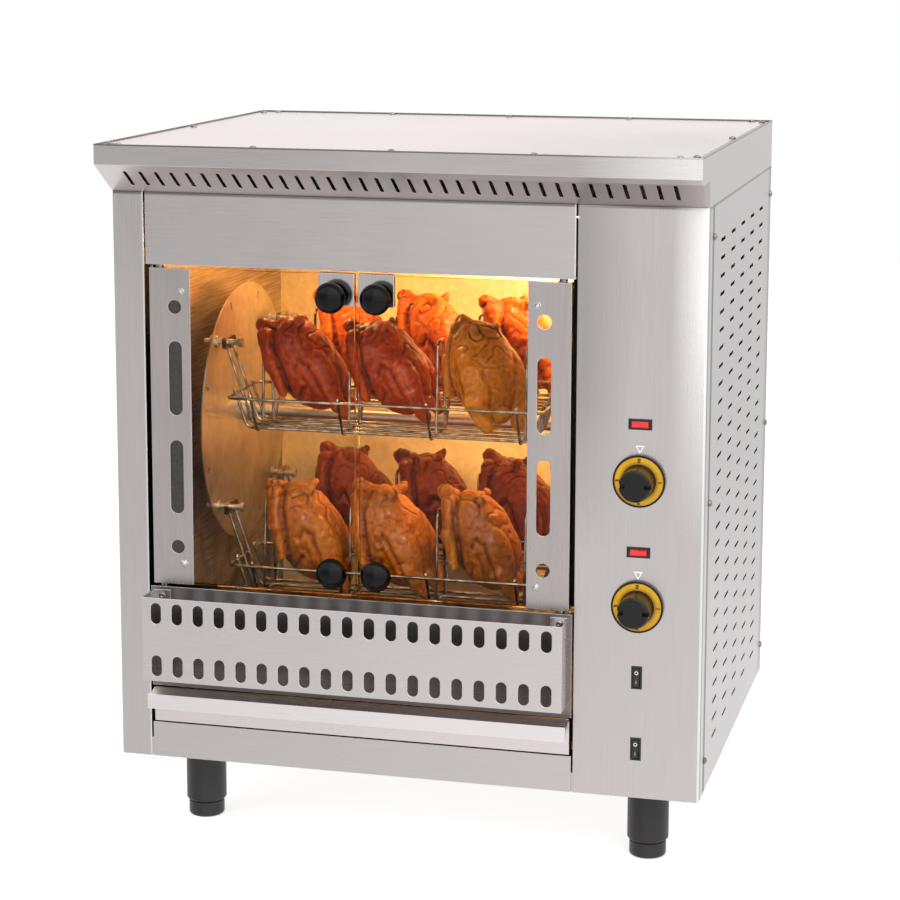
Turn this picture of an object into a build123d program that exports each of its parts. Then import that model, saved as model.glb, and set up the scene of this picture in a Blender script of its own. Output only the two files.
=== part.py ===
from build123d import *
import os
from math import cos, radians, sin

os.makedirs("parts", exist_ok=True)

# Driving dimensions of the cabinet, in millimetres
body_width = 770.0
body_depth = 600.0
body_height = 815.0
leg_height = 110.0
hood_overhang = 60.0
hood_height = 65.0
hood_face_height = 26.0
sheet = 1.5
seam = 0.3
running_gap = 0.08
cut_overrun = 25.0

# Front layout: widths from the left, heights from the underside of the body
post_width = 41.0
control_width = 161.0
panel_joint = 2.5
corner_return = 39.0
jamb_depth = 60.0
kick_height = 47.0
tray_gap = 2.0
tray_face_height = 46.5
rail_height = 134.5
door_gap = 4.5
door_height = 416.0
door_side_gap = 7.0
door_meeting_gap = 5.0

# Oven and rotor
oven_depth = 552.0
oven_height = 732.0
refractory_thickness = 12.0
axle_depth = 295.0
axle_height = 415.0
axle_radius = 8.0
disc_radius = 180.0
pivot_circle_radius = 162.0
pivot_angle = 45.0
hanger_pin_radius = 4.0
wire_radius = 2.0

# Fasteners
screw_head_radius = 4.5
screw_head_height = 3.0
screw_shank_radius = 2.0
screw_shank_length = 7.0
screw_hole_gap = 0.3

# Levels and places that follow from the driving dimensions
body_bottom = leg_height
overall_depth = hood_overhang + body_depth + screw_head_height
front_y = hood_overhang - overall_depth / 2
side_x = body_width / 2
wall_height = body_height - hood_height
opening_left = post_width - side_x
opening_right = side_x - control_width
opening_half = (opening_right - opening_left) / 2
oven_centre_x = (opening_right + opening_left) / 2
front_left = opening_left + panel_joint
front_right = opening_right - panel_joint
tray_low = kick_height + tray_gap
tray_high = tray_low + tray_face_height
rail_low = tray_high + tray_gap
rail_high = rail_low + rail_height
door_low = rail_high + door_gap
door_high = door_low + door_height
fascia_low = door_high + door_gap
screw_hole_radius = screw_shank_radius + screw_hole_gap


def facing_front(depth):
    """Plane parallel to the front: x to the right, y up from the underside of the body."""
    return Plane(origin=(0, front_y + depth, body_bottom), x_dir=(1, 0, 0), z_dir=(0, -1, 0))


def facing_side(x):
    """Plane across the body at x: local x back from the front, local y up, normal to the right."""
    return Plane(origin=(x, front_y, body_bottom), x_dir=(0, 1, 0), z_dir=(1, 0, 0))


def level(height):
    """Horizontal plane: local x to the right, local y back from the front."""
    return Plane(origin=(0, front_y, body_bottom + height))


def span(low_x, high_x, low_y, high_y, mode=Mode.ADD):
    """Rectangle between two corners of the sketch that is open."""
    with Locations(((low_x + high_x) / 2, (low_y + high_y) / 2)):
        Rectangle(high_x - low_x, high_y - low_y, mode=mode)


def write_shape(shape, name):
    """Label a finished shape and write its file."""
    shape.label = name
    export_step(shape, f"parts/{name}.step")


def write_piece(piece, name):
    """Write the part that a builder has made."""
    write_shape(piece.part, name)


# Legs: plastic sleeves under the base, each with a foot that turns in it
leg_side_inset = 80.0
leg_end_inset = 100.0
sleeve_radius = 27.0
sleeve_chamfer = 4.0
foot_radius = 24.0
foot_visible_height = 20.0
foot_rounding = 4.0
spigot_radius = 17.0
spigot_length = 45.0
stud_radius = 5.0
stud_length = 14.0
leg_places = {
    "front_left": (leg_side_inset - side_x, leg_end_inset),
    "front_right": (side_x - leg_side_inset, leg_end_inset),
    "rear_left": (leg_side_inset - side_x, body_depth - leg_end_inset),
    "rear_right": (side_x - leg_side_inset, body_depth - leg_end_inset),
}
sleeve_low = foot_visible_height + seam - leg_height

with BuildPart() as leg_sleeves:
    with BuildSketch(level(sleeve_low)):
        with Locations(*leg_places.values()):
            Circle(sleeve_radius)
    extrude(amount=-sleeve_low)
    chamfer(leg_sleeves.edges().group_by(Axis.Z)[0], sleeve_chamfer)
    with BuildSketch(level(sleeve_low)):
        with Locations(*leg_places.values()):
            Circle(spigot_radius + running_gap)
    extrude(amount=spigot_length + seam, mode=Mode.SUBTRACT)
    with BuildSketch(level(0)):
        with Locations(*leg_places.values()):
            Circle(stud_radius)
    extrude(amount=stud_length)
write_piece(leg_sleeves, "leg_sleeves")

for corner, place in leg_places.items():
    with BuildPart() as foot:
        with BuildSketch(level(-leg_height)):
            with Locations(place):
                Circle(foot_radius)
        extrude(amount=foot_visible_height)
        fillet(foot.edges().group_by(Axis.Z)[0], foot_rounding)
        with BuildSketch(level(foot_visible_height - leg_height)):
            with Locations(place):
                Circle(spigot_radius)
        extrude(amount=spigot_length)
    write_piece(foot, f"foot_{corner}")

# Base pan: folded sheet tray that carries the legs, the terminal block and the cable gland
base_flange_height = 25.0
base_half_width = side_x - sheet - seam
base_front = sheet + seam
base_back = body_depth - sheet - seam
gland_side_inset = 140.0
gland_back_inset = 70.0
gland_thread_radius = 10.0
gland_place = (side_x - gland_side_inset, body_depth - gland_back_inset)

with BuildPart() as base_pan:
    with BuildSketch(level(0)):
        span(-base_half_width, base_half_width, base_front, base_back)
    extrude(amount=base_flange_height)
    offset(amount=-sheet, openings=base_pan.faces().sort_by(Axis.Z)[-1])
    with BuildSketch(level(0)):
        with Locations(*leg_places.values()):
            Circle(stud_radius + seam)
        with Locations(gland_place):
            Circle(gland_thread_radius + seam)
    extrude(amount=sheet, mode=Mode.SUBTRACT)
write_piece(base_pan, "base_pan")

# Cable gland: nut under the base and domed body below it
gland_flange_radius = 14.0
gland_flange_height = 6.0
gland_body_radius = 11.0
gland_body_height = 18.0
gland_cable_radius = 4.5
gland_thread_length = 9.0

with BuildPart() as cable_gland:
    with BuildSketch(level(-gland_flange_height)):
        with Locations(gland_place):
            RegularPolygon(gland_flange_radius, 6)
    extrude(amount=gland_flange_height)
    with BuildSketch(level(-gland_flange_height - gland_body_height)):
        with Locations(gland_place):
            Circle(gland_body_radius)
    extrude(amount=gland_body_height)
    fillet(cable_gland.edges().group_by(Axis.Z)[0], gland_body_radius - gland_cable_radius * 3 / 2)
    with BuildSketch(level(0)):
        with Locations(gland_place):
            Circle(gland_thread_radius)
    extrude(amount=gland_thread_length)
    with BuildSketch(level(0)):
        with Locations(gland_place):
            Circle(gland_cable_radius)
    extrude(amount=leg_height, both=True, mode=Mode.SUBTRACT)
write_piece(cable_gland, "cable_gland")

# Terminal block on the base, beside the gland
terminal_width = 70.0
terminal_depth = 26.0
terminal_height = 24.0
terminal_count = 5
terminal_screw_radius = 3.5
terminal_screw_depth = 8.0
terminal_front = body_depth - 2 * gland_back_inset - terminal_depth
terminal_right = side_x - leg_side_inset / 2

with BuildPart() as terminal_block:
    with BuildSketch(level(sheet)):
        span(terminal_right - terminal_width, terminal_right, terminal_front, terminal_front + terminal_depth)
    extrude(amount=terminal_height)
    with BuildSketch(level(sheet + terminal_height)):
        with Locations((terminal_right - terminal_width / 2, terminal_front + terminal_depth / 2)):
            with GridLocations(terminal_width / terminal_count, terminal_depth / 2, terminal_count, 2):
                Circle(terminal_screw_radius)
    extrude(amount=-terminal_screw_depth, mode=Mode.SUBTRACT)
write_piece(terminal_block, "terminal_block")

# Side panels: flat sheets with a field of oblong vents, screwed along both upright edges
side_front = corner_return + seam
side_high = wall_height - seam
side_vent_length = 42.0
side_vent_width = 5.0
side_vent_columns = 5
side_vent_rows = 29
side_vent_column_pitch = 92.5
side_vent_end_inset = 51.5
side_vent_row_pitch = (side_high - 2 * side_vent_end_inset) / (side_vent_rows - 1)
side_vent_middle_depth = 313.0
side_screw_inset = 8.0
side_screw_end_inset = 40.0
side_screw_places = [
    (depth, height)
    for depth in (side_front + side_screw_inset, body_depth - side_screw_inset)
    for height in (side_screw_end_inset, side_high / 2, side_high - side_screw_end_inset)
]

with BuildPart() as right_side_panel:
    with BuildSketch(facing_side(side_x - sheet)):
        span(side_front, body_depth, 0, side_high)
        with Locations((side_vent_middle_depth, side_high / 2)):
            with GridLocations(
                side_vent_column_pitch, side_vent_row_pitch, side_vent_columns, side_vent_rows
            ):
                SlotOverall(side_vent_length, side_vent_width, mode=Mode.SUBTRACT)
        with Locations(*side_screw_places):
            Circle(screw_hole_radius, mode=Mode.SUBTRACT)
    extrude(amount=sheet)
write_piece(right_side_panel, "right_side_panel")

with BuildPart() as left_side_panel:
    mirror(right_side_panel.part, about=Plane.YZ)
write_piece(left_side_panel, "left_side_panel")

# Rear panel: sheet between the side panels, with two groups of vents
rear_half_width = side_x - sheet - seam
rear_vent_length = 60.0
rear_vent_width = 6.0
rear_vent_columns = 4
rear_vent_rows = 8
rear_vent_column_pitch = 90.0
rear_vent_row_pitch = 16.0
rear_vent_inset = 110.0
rear_screw_inset = 10.0
rear_screw_places = [
    (x, height)
    for x in (rear_screw_inset - rear_half_width, 0, rear_half_width - rear_screw_inset)
    for height in (side_screw_end_inset, side_high / 2, side_high - side_screw_end_inset)
]

with BuildPart() as rear_panel:
    with BuildSketch(facing_front(body_depth)):
        span(-rear_half_width, rear_half_width, 0, side_high)
        for vent_height in (rear_vent_inset, side_high - rear_vent_inset):
            with Locations((0, vent_height)):
                with GridLocations(
                    rear_vent_column_pitch, rear_vent_row_pitch, rear_vent_columns, rear_vent_rows
                ):
                    SlotOverall(rear_vent_length, rear_vent_width, mode=Mode.SUBTRACT)
        with Locations(*rear_screw_places):
            Circle(screw_hole_radius, mode=Mode.SUBTRACT)
    extrude(amount=sheet)
write_piece(rear_panel, "rear_panel")

# Hood: folded band round the top that leans out over the front, with vents along its slope
hood_slope_rise = hood_height - hood_face_height
hood_slope_high = wall_height + hood_slope_rise
hood_ledge_width = 24.0
hood_ledge_drop = 5.0
hood_vent_count = 35
hood_vent_end_inset = 34.8
hood_vent_pitch = (body_width - 2 * hood_vent_end_inset) / (hood_vent_count - 1)
hood_vent_length = 38.0
hood_vent_width = 5.0
hood_outline = [
    (0, wall_height),
    (-hood_overhang, hood_slope_high),
    (-hood_overhang, body_height),
    (body_depth, body_height),
    (body_depth, wall_height),
]
hood_slope = Plane(
    origin=(0, front_y - hood_overhang / 2, body_bottom + wall_height + hood_slope_rise / 2),
    x_dir=(1, 0, 0),
    z_dir=(0, -hood_slope_rise, -hood_overhang),
)
top_low = body_height - hood_ledge_drop + sheet
top_gap = 1.0
top_half_width = side_x - sheet - top_gap
top_front = sheet + top_gap - hood_overhang
top_back = body_depth - sheet - top_gap
top_screw_inset = 9.0
top_screw_corner = 26.0
top_screw_columns = 5
top_screw_rows = 3
top_screw_half_row = top_half_width - top_screw_corner
top_screw_row_pitch = (top_back - top_front - 2 * top_screw_corner) / (top_screw_rows - 1)
top_screw_places = [
    (top_screw_half_row * (2 * column / (top_screw_columns - 1) - 1), depth)
    for column in range(top_screw_columns)
    for depth in (top_front + top_screw_inset, top_back - top_screw_inset)
] + [
    (x, top_front + top_screw_corner + row * top_screw_row_pitch)
    for row in range(top_screw_rows)
    for x in (top_screw_inset - top_half_width, top_half_width - top_screw_inset)
]

with BuildPart() as hood:
    with BuildSketch(facing_side(-side_x)):
        with BuildLine():
            Polyline(*hood_outline, close=True)
        make_face()
    extrude(amount=body_width)
    hood_ends = hood.faces().sort_by(Axis.Z)
    offset(amount=-sheet, openings=[hood_ends[0], hood_ends[-1]])
    with BuildSketch(level(body_height - hood_ledge_drop)):
        span(sheet / 2 - side_x, side_x - sheet / 2, sheet / 2 - hood_overhang, body_depth - sheet / 2)
        span(
            hood_ledge_width - side_x,
            side_x - hood_ledge_width,
            hood_ledge_width - hood_overhang,
            body_depth - hood_ledge_width,
            mode=Mode.SUBTRACT,
        )
    extrude(amount=sheet)
    with BuildSketch(hood_slope):
        with GridLocations(hood_vent_pitch, hood_vent_length, hood_vent_count, 1):
            SlotOverall(hood_vent_length, hood_vent_width, rotation=90)
    extrude(amount=2 * sheet, both=True, mode=Mode.SUBTRACT)
    with BuildSketch(level(body_height - hood_ledge_drop)):
        with Locations(*top_screw_places):
            Circle(screw_hole_radius)
    extrude(amount=sheet, mode=Mode.SUBTRACT)
write_piece(hood, "hood")

# Top panel: flat sheet lying on the hood's ledge, just below its rim
with BuildPart() as top_panel:
    with BuildSketch(level(top_low)):
        span(-top_half_width, top_half_width, top_front, top_back)
        with Locations(*top_screw_places):
            Circle(screw_hole_radius, mode=Mode.SUBTRACT)
    extrude(amount=sheet)
write_piece(top_panel, "top_panel")

# Left front post: channel with a return round the corner and a jamb for the door
jamb_low = base_flange_height + seam

with BuildPart() as left_post:
    with BuildSketch(level(0)):
        span(-side_x, opening_left, 0, sheet)
        span(-side_x, sheet - side_x, 0, corner_return)
    extrude(amount=side_high)
    with BuildSketch(level(jamb_low)):
        span(opening_left - sheet, opening_left, 0, jamb_depth)
    extrude(amount=side_high - jamb_low)
write_piece(left_post, "left_post")

# Controls, all on one upright line in the middle of the control panel
control_x = side_x - control_width / 2
upper_lamp_height = 480.0
upper_dial_height = 409.0
lower_lamp_height = 318.0
lower_dial_height = 249.0
upper_rocker_height = 157.0
lower_rocker_height = 64.0
lamp_heights = (upper_lamp_height, lower_lamp_height)
dial_heights = (upper_dial_height, lower_dial_height)
rocker_heights = (upper_rocker_height, lower_rocker_height)
spindle_radius = 3.0
spindle_hole_radius = 5.0
bezel_width = 30.0
bezel_height = 14.0
bezel_flange = 2.0
bezel_margin = 1.5
bezel_body_depth = 22.0

# Control panel: full-height front panel with a return round the corner and a jamb
with BuildPart() as control_panel:
    with BuildSketch(level(0)):
        span(opening_right, side_x, 0, sheet)
        span(side_x - sheet, side_x, 0, corner_return)
    extrude(amount=side_high)
    with BuildSketch(level(jamb_low)):
        span(opening_right, opening_right + sheet, 0, jamb_depth)
    extrude(amount=side_high - jamb_low)
    with BuildSketch(facing_front(0)):
        with Locations(*[(control_x, height) for height in dial_heights]):
            Circle(spindle_hole_radius)
        with Locations(*[(control_x, height) for height in lamp_heights]):
            Rectangle(bezel_width - 2 * bezel_margin, bezel_height - 2 * bezel_margin)
        with Locations(*[(control_x, height) for height in rocker_heights]):
            Rectangle(bezel_height - 2 * bezel_margin, bezel_width - 2 * bezel_margin)
    extrude(amount=-sheet, mode=Mode.SUBTRACT)
write_piece(control_panel, "control_panel")

# Bezels: two pilot lamp frames and two rocker housings, clipped into the control panel
bezel_fit = 0.2
bezel_flange_slope = 20.0
lens_margin = 3.0
rocker_margin = 3.0
rocker_well_depth = 12.0
rocker_axis_depth = 1.0
trunnion_radius = 1.2
trunnion_length = 0.8
lens_width = bezel_width - 3 * lens_margin
lens_height = bezel_height - 2 * lens_margin
well_width = bezel_height - 2 * rocker_margin
well_height = bezel_width - 2 * rocker_margin
bezel_inner_width = bezel_width - 2 * bezel_margin - 2 * bezel_fit
bezel_inner_height = bezel_height - 2 * bezel_margin - 2 * bezel_fit

with BuildPart() as panel_bezels:
    with BuildSketch(facing_front(0)):
        with Locations(*[(control_x, height) for height in lamp_heights]):
            Rectangle(bezel_width, bezel_height)
        with Locations(*[(control_x, height) for height in rocker_heights]):
            Rectangle(bezel_height, bezel_width)
    extrude(amount=bezel_flange, taper=bezel_flange_slope)
    with BuildSketch(facing_front(0)):
        with Locations(*[(control_x, height) for height in lamp_heights]):
            Rectangle(bezel_inner_width, bezel_inner_height)
        with Locations(*[(control_x, height) for height in rocker_heights]):
            Rectangle(bezel_inner_height, bezel_inner_width)
    extrude(amount=-bezel_body_depth)
    with BuildSketch(facing_front(-bezel_flange)):
        with Locations(*[(control_x, height) for height in lamp_heights]):
            Rectangle(lens_width, lens_height)
        with Locations(*[(control_x, height) for height in rocker_heights]):
            Rectangle(well_width, well_height)
    extrude(amount=-bezel_flange - rocker_well_depth, mode=Mode.SUBTRACT)
    with BuildSketch(facing_side(control_x)):
        with Locations(*[(rocker_axis_depth, height) for height in rocker_heights]):
            Circle(trunnion_radius + running_gap)
    extrude(amount=well_width / 2 + trunnion_length + seam, both=True, mode=Mode.SUBTRACT)
write_piece(panel_bezels, "panel_bezels")

# Pilot lenses: two clear red blocks pushed into their frames
lens_crown = 1.2

with BuildPart() as pilot_lenses:
    with BuildSketch(facing_front(rocker_well_depth - seam)):
        with Locations(*[(control_x, height) for height in lamp_heights]):
            Rectangle(lens_width - 2 * bezel_fit, lens_height - 2 * bezel_fit)
    extrude(amount=rocker_well_depth - seam + bezel_flange + lens_crown)
    chamfer(pilot_lenses.faces().filter_by(Axis.Y).group_by(Axis.Y)[0].edges(), lens_crown)
write_piece(pilot_lenses, "pilot_lenses")

# Rocker switches: paddles on two short trunnions, lying with the off end pressed in
rocker_gap = 0.4
rocker_tilt = 8.0
rocker_nose = 5.0
rocker_dip = 3.2
rocker_back = 2.5
rocker_half_height = well_height / 2 - 2 * rocker_gap
rocker_half_width = well_width / 2 - rocker_gap
rocker_outline = [
    (rocker_back, rocker_half_height),
    (-rocker_nose, rocker_half_height),
    (-rocker_dip, 0),
    (-rocker_nose, -rocker_half_height),
    (rocker_back, -rocker_half_height),
]

for rocker_name, rocker_height in zip(("upper_rocker", "lower_rocker"), rocker_heights):
    rocker_plane = Plane(
        origin=(control_x, front_y + rocker_axis_depth, body_bottom + rocker_height),
        x_dir=(0, cos(radians(rocker_tilt)), -sin(radians(rocker_tilt))),
        z_dir=(1, 0, 0),
    )
    with BuildPart() as rocker:
        with BuildSketch(rocker_plane):
            with BuildLine():
                Polyline(*rocker_outline, close=True)
            make_face()
        extrude(amount=rocker_half_width, both=True)
        with BuildSketch(rocker_plane):
            Circle(trunnion_radius)
        extrude(amount=well_width / 2 + trunnion_length, both=True)
    write_piece(rocker, rocker_name)

# Rotary heat switches behind the panel, one for each dial
switch_width = 44.0
switch_depth = 38.0
switch_bush_radius = 9.0
switch_bush_length = 5.0
spindle_depth = 26.0

with BuildPart() as rotary_switches:
    with BuildSketch(facing_front(sheet)):
        with Locations(*[(control_x, height) for height in dial_heights]):
            Circle(switch_bush_radius)
    extrude(amount=-switch_bush_length)
    with BuildSketch(facing_front(sheet + switch_bush_length)):
        with Locations(*[(control_x, height) for height in dial_heights]):
            RectangleRounded(switch_width, switch_width, switch_bush_length)
    extrude(amount=-switch_depth)
    with BuildSketch(facing_front(0)):
        with Locations(*[(control_x, height) for height in dial_heights]):
            Circle(spindle_radius + running_gap)
    extrude(amount=-spindle_depth - seam, mode=Mode.SUBTRACT)
write_piece(rotary_switches, "rotary_switches")

# Heat dials: skirt with a numbered ring, sloping shoulder and a round grip with a notch on each side
dial_radius = 33.0
dial_rim_width = 2.5
dial_skirt_height = 5.0
dial_ring_step = 0.6
dial_shoulder_radius = 21.5
dial_shoulder_height = 10.0
dial_grip_radius = 20.0
dial_height = 37.0
dial_grip_rounding = 2.5
dial_notch_length = 8.0
dial_notch_width = 6.0
dial_notch_depth = 9.0
dial_panel_gap = 0.6
dial_outline = [
    (0, -spindle_depth),
    (spindle_radius, -spindle_depth),
    (spindle_radius, dial_panel_gap),
    (dial_radius, dial_panel_gap),
    (dial_radius, dial_skirt_height),
    (dial_radius - dial_rim_width, dial_skirt_height),
    (dial_radius - dial_rim_width, dial_skirt_height - dial_ring_step),
    (dial_shoulder_radius, dial_skirt_height + dial_ring_step),
    (dial_grip_radius, dial_shoulder_height),
    (dial_grip_radius, dial_height - dial_grip_rounding),
    (dial_grip_radius - dial_grip_rounding, dial_height),
    (0, dial_height),
]

for dial_name, dial_z in zip(("upper_dial", "lower_dial"), dial_heights):
    dial_origin = (control_x, front_y, body_bottom + dial_z)
    dial_section = Plane(origin=dial_origin, x_dir=(1, 0, 0), z_dir=(0, 0, 1)).rotated((180, 0, 0))
    with BuildPart() as dial:
        with BuildSketch(dial_section):
            with BuildLine():
                Polyline(*dial_outline, close=True)
            make_face()
        revolve(axis=Axis(dial_origin, (0, 1, 0)))
        with BuildSketch(Plane(origin=dial_origin, x_dir=(1, 0, 0), z_dir=(0, -1, 0)).offset(dial_height)):
            for side in (-1, 1):
                with Locations((side * dial_grip_radius, 0)):
                    Rectangle(2 * dial_notch_length, dial_notch_width)
        extrude(amount=-dial_notch_depth, mode=Mode.SUBTRACT)
    write_piece(dial, dial_name)

# Fascia: panel above the doors, folded under to carry the upper door pins
fascia_return = 30.0
pin_radius = 3.0
pin_inset = 12.0
pin_depth = 7.0
pin_places = [
    (opening_left + door_side_gap + pin_inset, pin_depth),
    (opening_right - door_side_gap - pin_inset, pin_depth),
]

with BuildPart() as fascia:
    with BuildSketch(facing_side(front_left)):
        span(0, sheet, fascia_low, side_high)
        span(0, fascia_return, fascia_low, fascia_low + sheet)
    extrude(amount=front_right - front_left)
    with BuildSketch(level(fascia_low)):
        with Locations(*pin_places):
            Circle(pin_radius + running_gap)
    extrude(amount=sheet, mode=Mode.SUBTRACT)
write_piece(fascia, "fascia")

# Kick panel: strip along the bottom of the front
with BuildPart() as kick_panel:
    with BuildSketch(facing_side(front_left)):
        span(0, sheet, 0, kick_height)
        span(0, fascia_return, kick_height - sheet, kick_height)
    extrude(amount=front_right - front_left)
write_piece(kick_panel, "kick_panel")

# Guard: perforated trough in front of the rail plate, open at the top
guard_depth = 45.0
guard_height = 111.0
guard_lift = 19.5
guard_low = rail_low + guard_lift
guard_end_gap = 6.0
guard_left = opening_left + guard_end_gap
guard_right = opening_right - guard_end_gap
guard_hole_count = 19
guard_hole_rows = 2
guard_hole_end_inset = 19.7
guard_hole_pitch = (guard_right - guard_left - 2 * guard_hole_end_inset) / (guard_hole_count - 1)
guard_hole_row_pitch = 70.0
guard_hole_width = 14.0
guard_hole_height = 28.0
guard_tab_width = 22.0
guard_tab_height = 16.0
guard_screw_height = guard_low + guard_height - guard_tab_height / 2
guard_screw_places = [
    (guard_left + sheet + guard_tab_width / 2, guard_screw_height),
    (guard_right - sheet - guard_tab_width / 2, guard_screw_height),
]

with BuildPart() as guard:
    with BuildSketch(level(guard_low)):
        span(guard_left, guard_right, -guard_depth, -seam)
    extrude(amount=guard_height)
    guard_top = guard.faces().sort_by(Axis.Z)[-1]
    guard_back = guard.faces().sort_by(Axis.Y)[-1]
    offset(amount=-sheet, openings=[guard_top, guard_back])
    with BuildSketch(facing_front(-guard_depth)):
        with Locations((oven_centre_x, guard_low + guard_height / 2)):
            with GridLocations(guard_hole_pitch, guard_hole_row_pitch, guard_hole_count, guard_hole_rows):
                SlotOverall(guard_hole_height, guard_hole_width, rotation=90)
    extrude(amount=-2 * sheet, mode=Mode.SUBTRACT)
    with BuildSketch(facing_front(-seam)):
        for tab_x, tab_z in guard_screw_places:
            with Locations((tab_x, tab_z)):
                Rectangle(guard_tab_width + sheet, guard_tab_height)
                Circle(screw_hole_radius, mode=Mode.SUBTRACT)
    extrude(amount=sheet)
write_piece(guard, "guard")

# Rail plate: closes the front under the doors, folded back to carry the lower door pins
with BuildPart() as rail_plate:
    with BuildSketch(facing_side(front_left)):
        span(0, sheet, rail_low, rail_high)
        span(0, fascia_return, rail_high - sheet, rail_high)
    extrude(amount=front_right - front_left)
    with BuildSketch(level(rail_high)):
        with Locations(*pin_places):
            Circle(pin_radius + running_gap)
    extrude(amount=-sheet, mode=Mode.SUBTRACT)
    with BuildSketch(facing_front(0)):
        with Locations(*guard_screw_places):
            Circle(screw_hole_radius)
    extrude(amount=-sheet, mode=Mode.SUBTRACT)
write_piece(rail_plate, "rail_plate")

# Door pins: four pins with a shoulder that spaces the door from the frame
pin_shoulder_radius = 5.5
pin_engagement = 10.0
pin_shoulder_height = door_gap - 2 * seam

with BuildPart() as door_pins:
    for pin_level, up in ((fascia_low, -1), (rail_high, 1)):
        with BuildSketch(level(pin_level + up * (door_gap + pin_engagement))):
            with Locations(*pin_places):
                Circle(pin_radius)
        extrude(amount=-up * (door_gap + 2 * pin_engagement))
        with BuildSketch(level(pin_level + up * seam)):
            with Locations(*pin_places):
                Circle(pin_shoulder_radius)
        extrude(amount=up * pin_shoulder_height)
write_piece(door_pins, "door_pins")

# Doors: a glass pane held at its hinge side by a folded steel stile
stile_width = 55.0
stile_return = 14.0
glass_thickness = 6.0
glass_inset = 22.0
glass_front = sheet + seam
glass_back = glass_front + glass_thickness
stile_line = 34.0
stile_hole_radius = 9.0
stile_slot_length = 97.0
stile_slot_offset = 65.0
stile_hole_inset = 50.0
stile_screw_line = 43.0
stile_screw_inset = 29.0
door_middle = (door_low + door_high) / 2
stile_slot_heights = (door_middle - stile_slot_offset, door_middle + stile_slot_offset)
stile_hole_heights = (door_low + stile_hole_inset, door_high - stile_hole_inset)
stile_screw_heights = (door_low + stile_screw_inset, door_high - stile_screw_inset)
door_left = opening_left + door_side_gap
door_right = oven_centre_x - door_meeting_gap / 2
stile_right = door_left + stile_width
left_pin_place = pin_places[0]
door_mirror = Plane.YZ.offset(oven_centre_x)

with BuildPart() as left_door_stile:
    with BuildSketch(facing_front(0)):
        span(door_left, stile_right, door_low, door_high)
        with Locations(*[(door_left + stile_line, height) for height in stile_hole_heights]):
            Circle(stile_hole_radius, mode=Mode.SUBTRACT)
        with Locations(*[(door_left + stile_line, height) for height in stile_slot_heights]):
            SlotOverall(stile_slot_length, 2 * stile_hole_radius, rotation=90, mode=Mode.SUBTRACT)
        with Locations(*[(door_left + stile_screw_line, height) for height in stile_screw_heights]):
            Circle(screw_hole_radius, mode=Mode.SUBTRACT)
    extrude(amount=-sheet)
    with BuildSketch(facing_front(0)):
        span(door_left, door_left + sheet, door_low, door_high)
        span(door_left, door_left + glass_inset - seam, door_low, door_low + sheet)
        span(door_left, door_left + glass_inset - seam, door_high - sheet, door_high)
    extrude(amount=-stile_return)
    with BuildSketch(level(door_low)):
        with Locations(left_pin_place):
            Circle(pin_radius + running_gap)
    extrude(amount=door_height, mode=Mode.SUBTRACT)
    with BuildSketch(facing_front(-seam)):
        with Locations(*[(door_left + stile_screw_line, height) for height in stile_screw_heights]):
            Circle(screw_head_radius)
    extrude(amount=screw_head_height)
    with BuildSketch(facing_front(-seam)):
        with Locations(*[(door_left + stile_screw_line, height) for height in stile_screw_heights]):
            Circle(screw_shank_radius)
    extrude(amount=-glass_back - screw_head_height)
write_piece(left_door_stile, "left_door_stile")

# Glass pane, drilled for the stile screws and the knob studs
knob_radius = 20.0
knob_height = 24.0
knob_neck_radius = 9.0
knob_neck_height = 7.0
knob_stud_radius = 3.0
knob_nut_radius = 6.0
knob_nut_height = 4.0
knob_line = 27.0
lower_knob_inset = 32.0
upper_knob_inset = 28.0
knob_heights = (door_low + lower_knob_inset, door_high - upper_knob_inset)
stud_hole_radius = knob_stud_radius + seam
knob_places = [(door_right - knob_line, height) for height in knob_heights]

with BuildPart() as left_door_glass:
    with BuildSketch(facing_front(glass_front)):
        span(door_left + glass_inset, door_right, door_low, door_high)
        with Locations(*[(door_left + stile_screw_line, height) for height in stile_screw_heights]):
            Circle(screw_hole_radius, mode=Mode.SUBTRACT)
        with Locations(*knob_places):
            Circle(stud_hole_radius, mode=Mode.SUBTRACT)
    extrude(amount=-glass_thickness)
    chamfer(left_door_glass.edges().filter_by(Axis.Z), sheet / 3)
write_piece(left_door_glass, "left_door_glass")

# Clip: strip of steel folded over the top edge of the glass, under the upper knob
clip_width = 47.0
clip_height = 40.0
clip_sheet = 1.2
clip_front = glass_front - seam - clip_sheet
clip_back = glass_back + seam + clip_sheet
clip_low = door_high - clip_height
clip_high = door_high + seam + clip_sheet

with BuildPart() as left_door_clip:
    with BuildSketch(facing_side(door_right - clip_width)):
        span(clip_front, clip_back, clip_low, clip_high)
        span(
            clip_front + clip_sheet,
            clip_back - clip_sheet,
            clip_low,
            clip_high - clip_sheet,
            mode=Mode.SUBTRACT,
        )
    extrude(amount=clip_width)
    with BuildSketch(facing_front(0)):
        with Locations(knob_places[1]):
            Circle(stud_hole_radius)
    extrude(amount=-glass_back - cut_overrun, mode=Mode.SUBTRACT)
write_piece(left_door_clip, "left_door_clip")

# Knobs: turned domes on a neck, each with a stud through the glass and a nut behind it
knob_seat = clip_front
knob_back = clip_back + seam
knob_front = knob_seat - seam - knob_neck_height - knob_height
knob_edge_share = 0.35
knob_rim_depth = knob_front + knob_height * (1 - knob_edge_share)
knob_outline_back = [
    (0, knob_back + knob_nut_height),
    (knob_nut_radius, knob_back + knob_nut_height),
    (knob_nut_radius, knob_back),
    (knob_stud_radius, knob_back),
    (knob_stud_radius, knob_seat - seam),
    (knob_neck_radius, knob_seat - seam),
    (knob_neck_radius, knob_front + knob_height),
    (knob_radius - knob_neck_height / 2, knob_front + knob_height),
    (knob_radius, knob_rim_depth),
]

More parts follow.
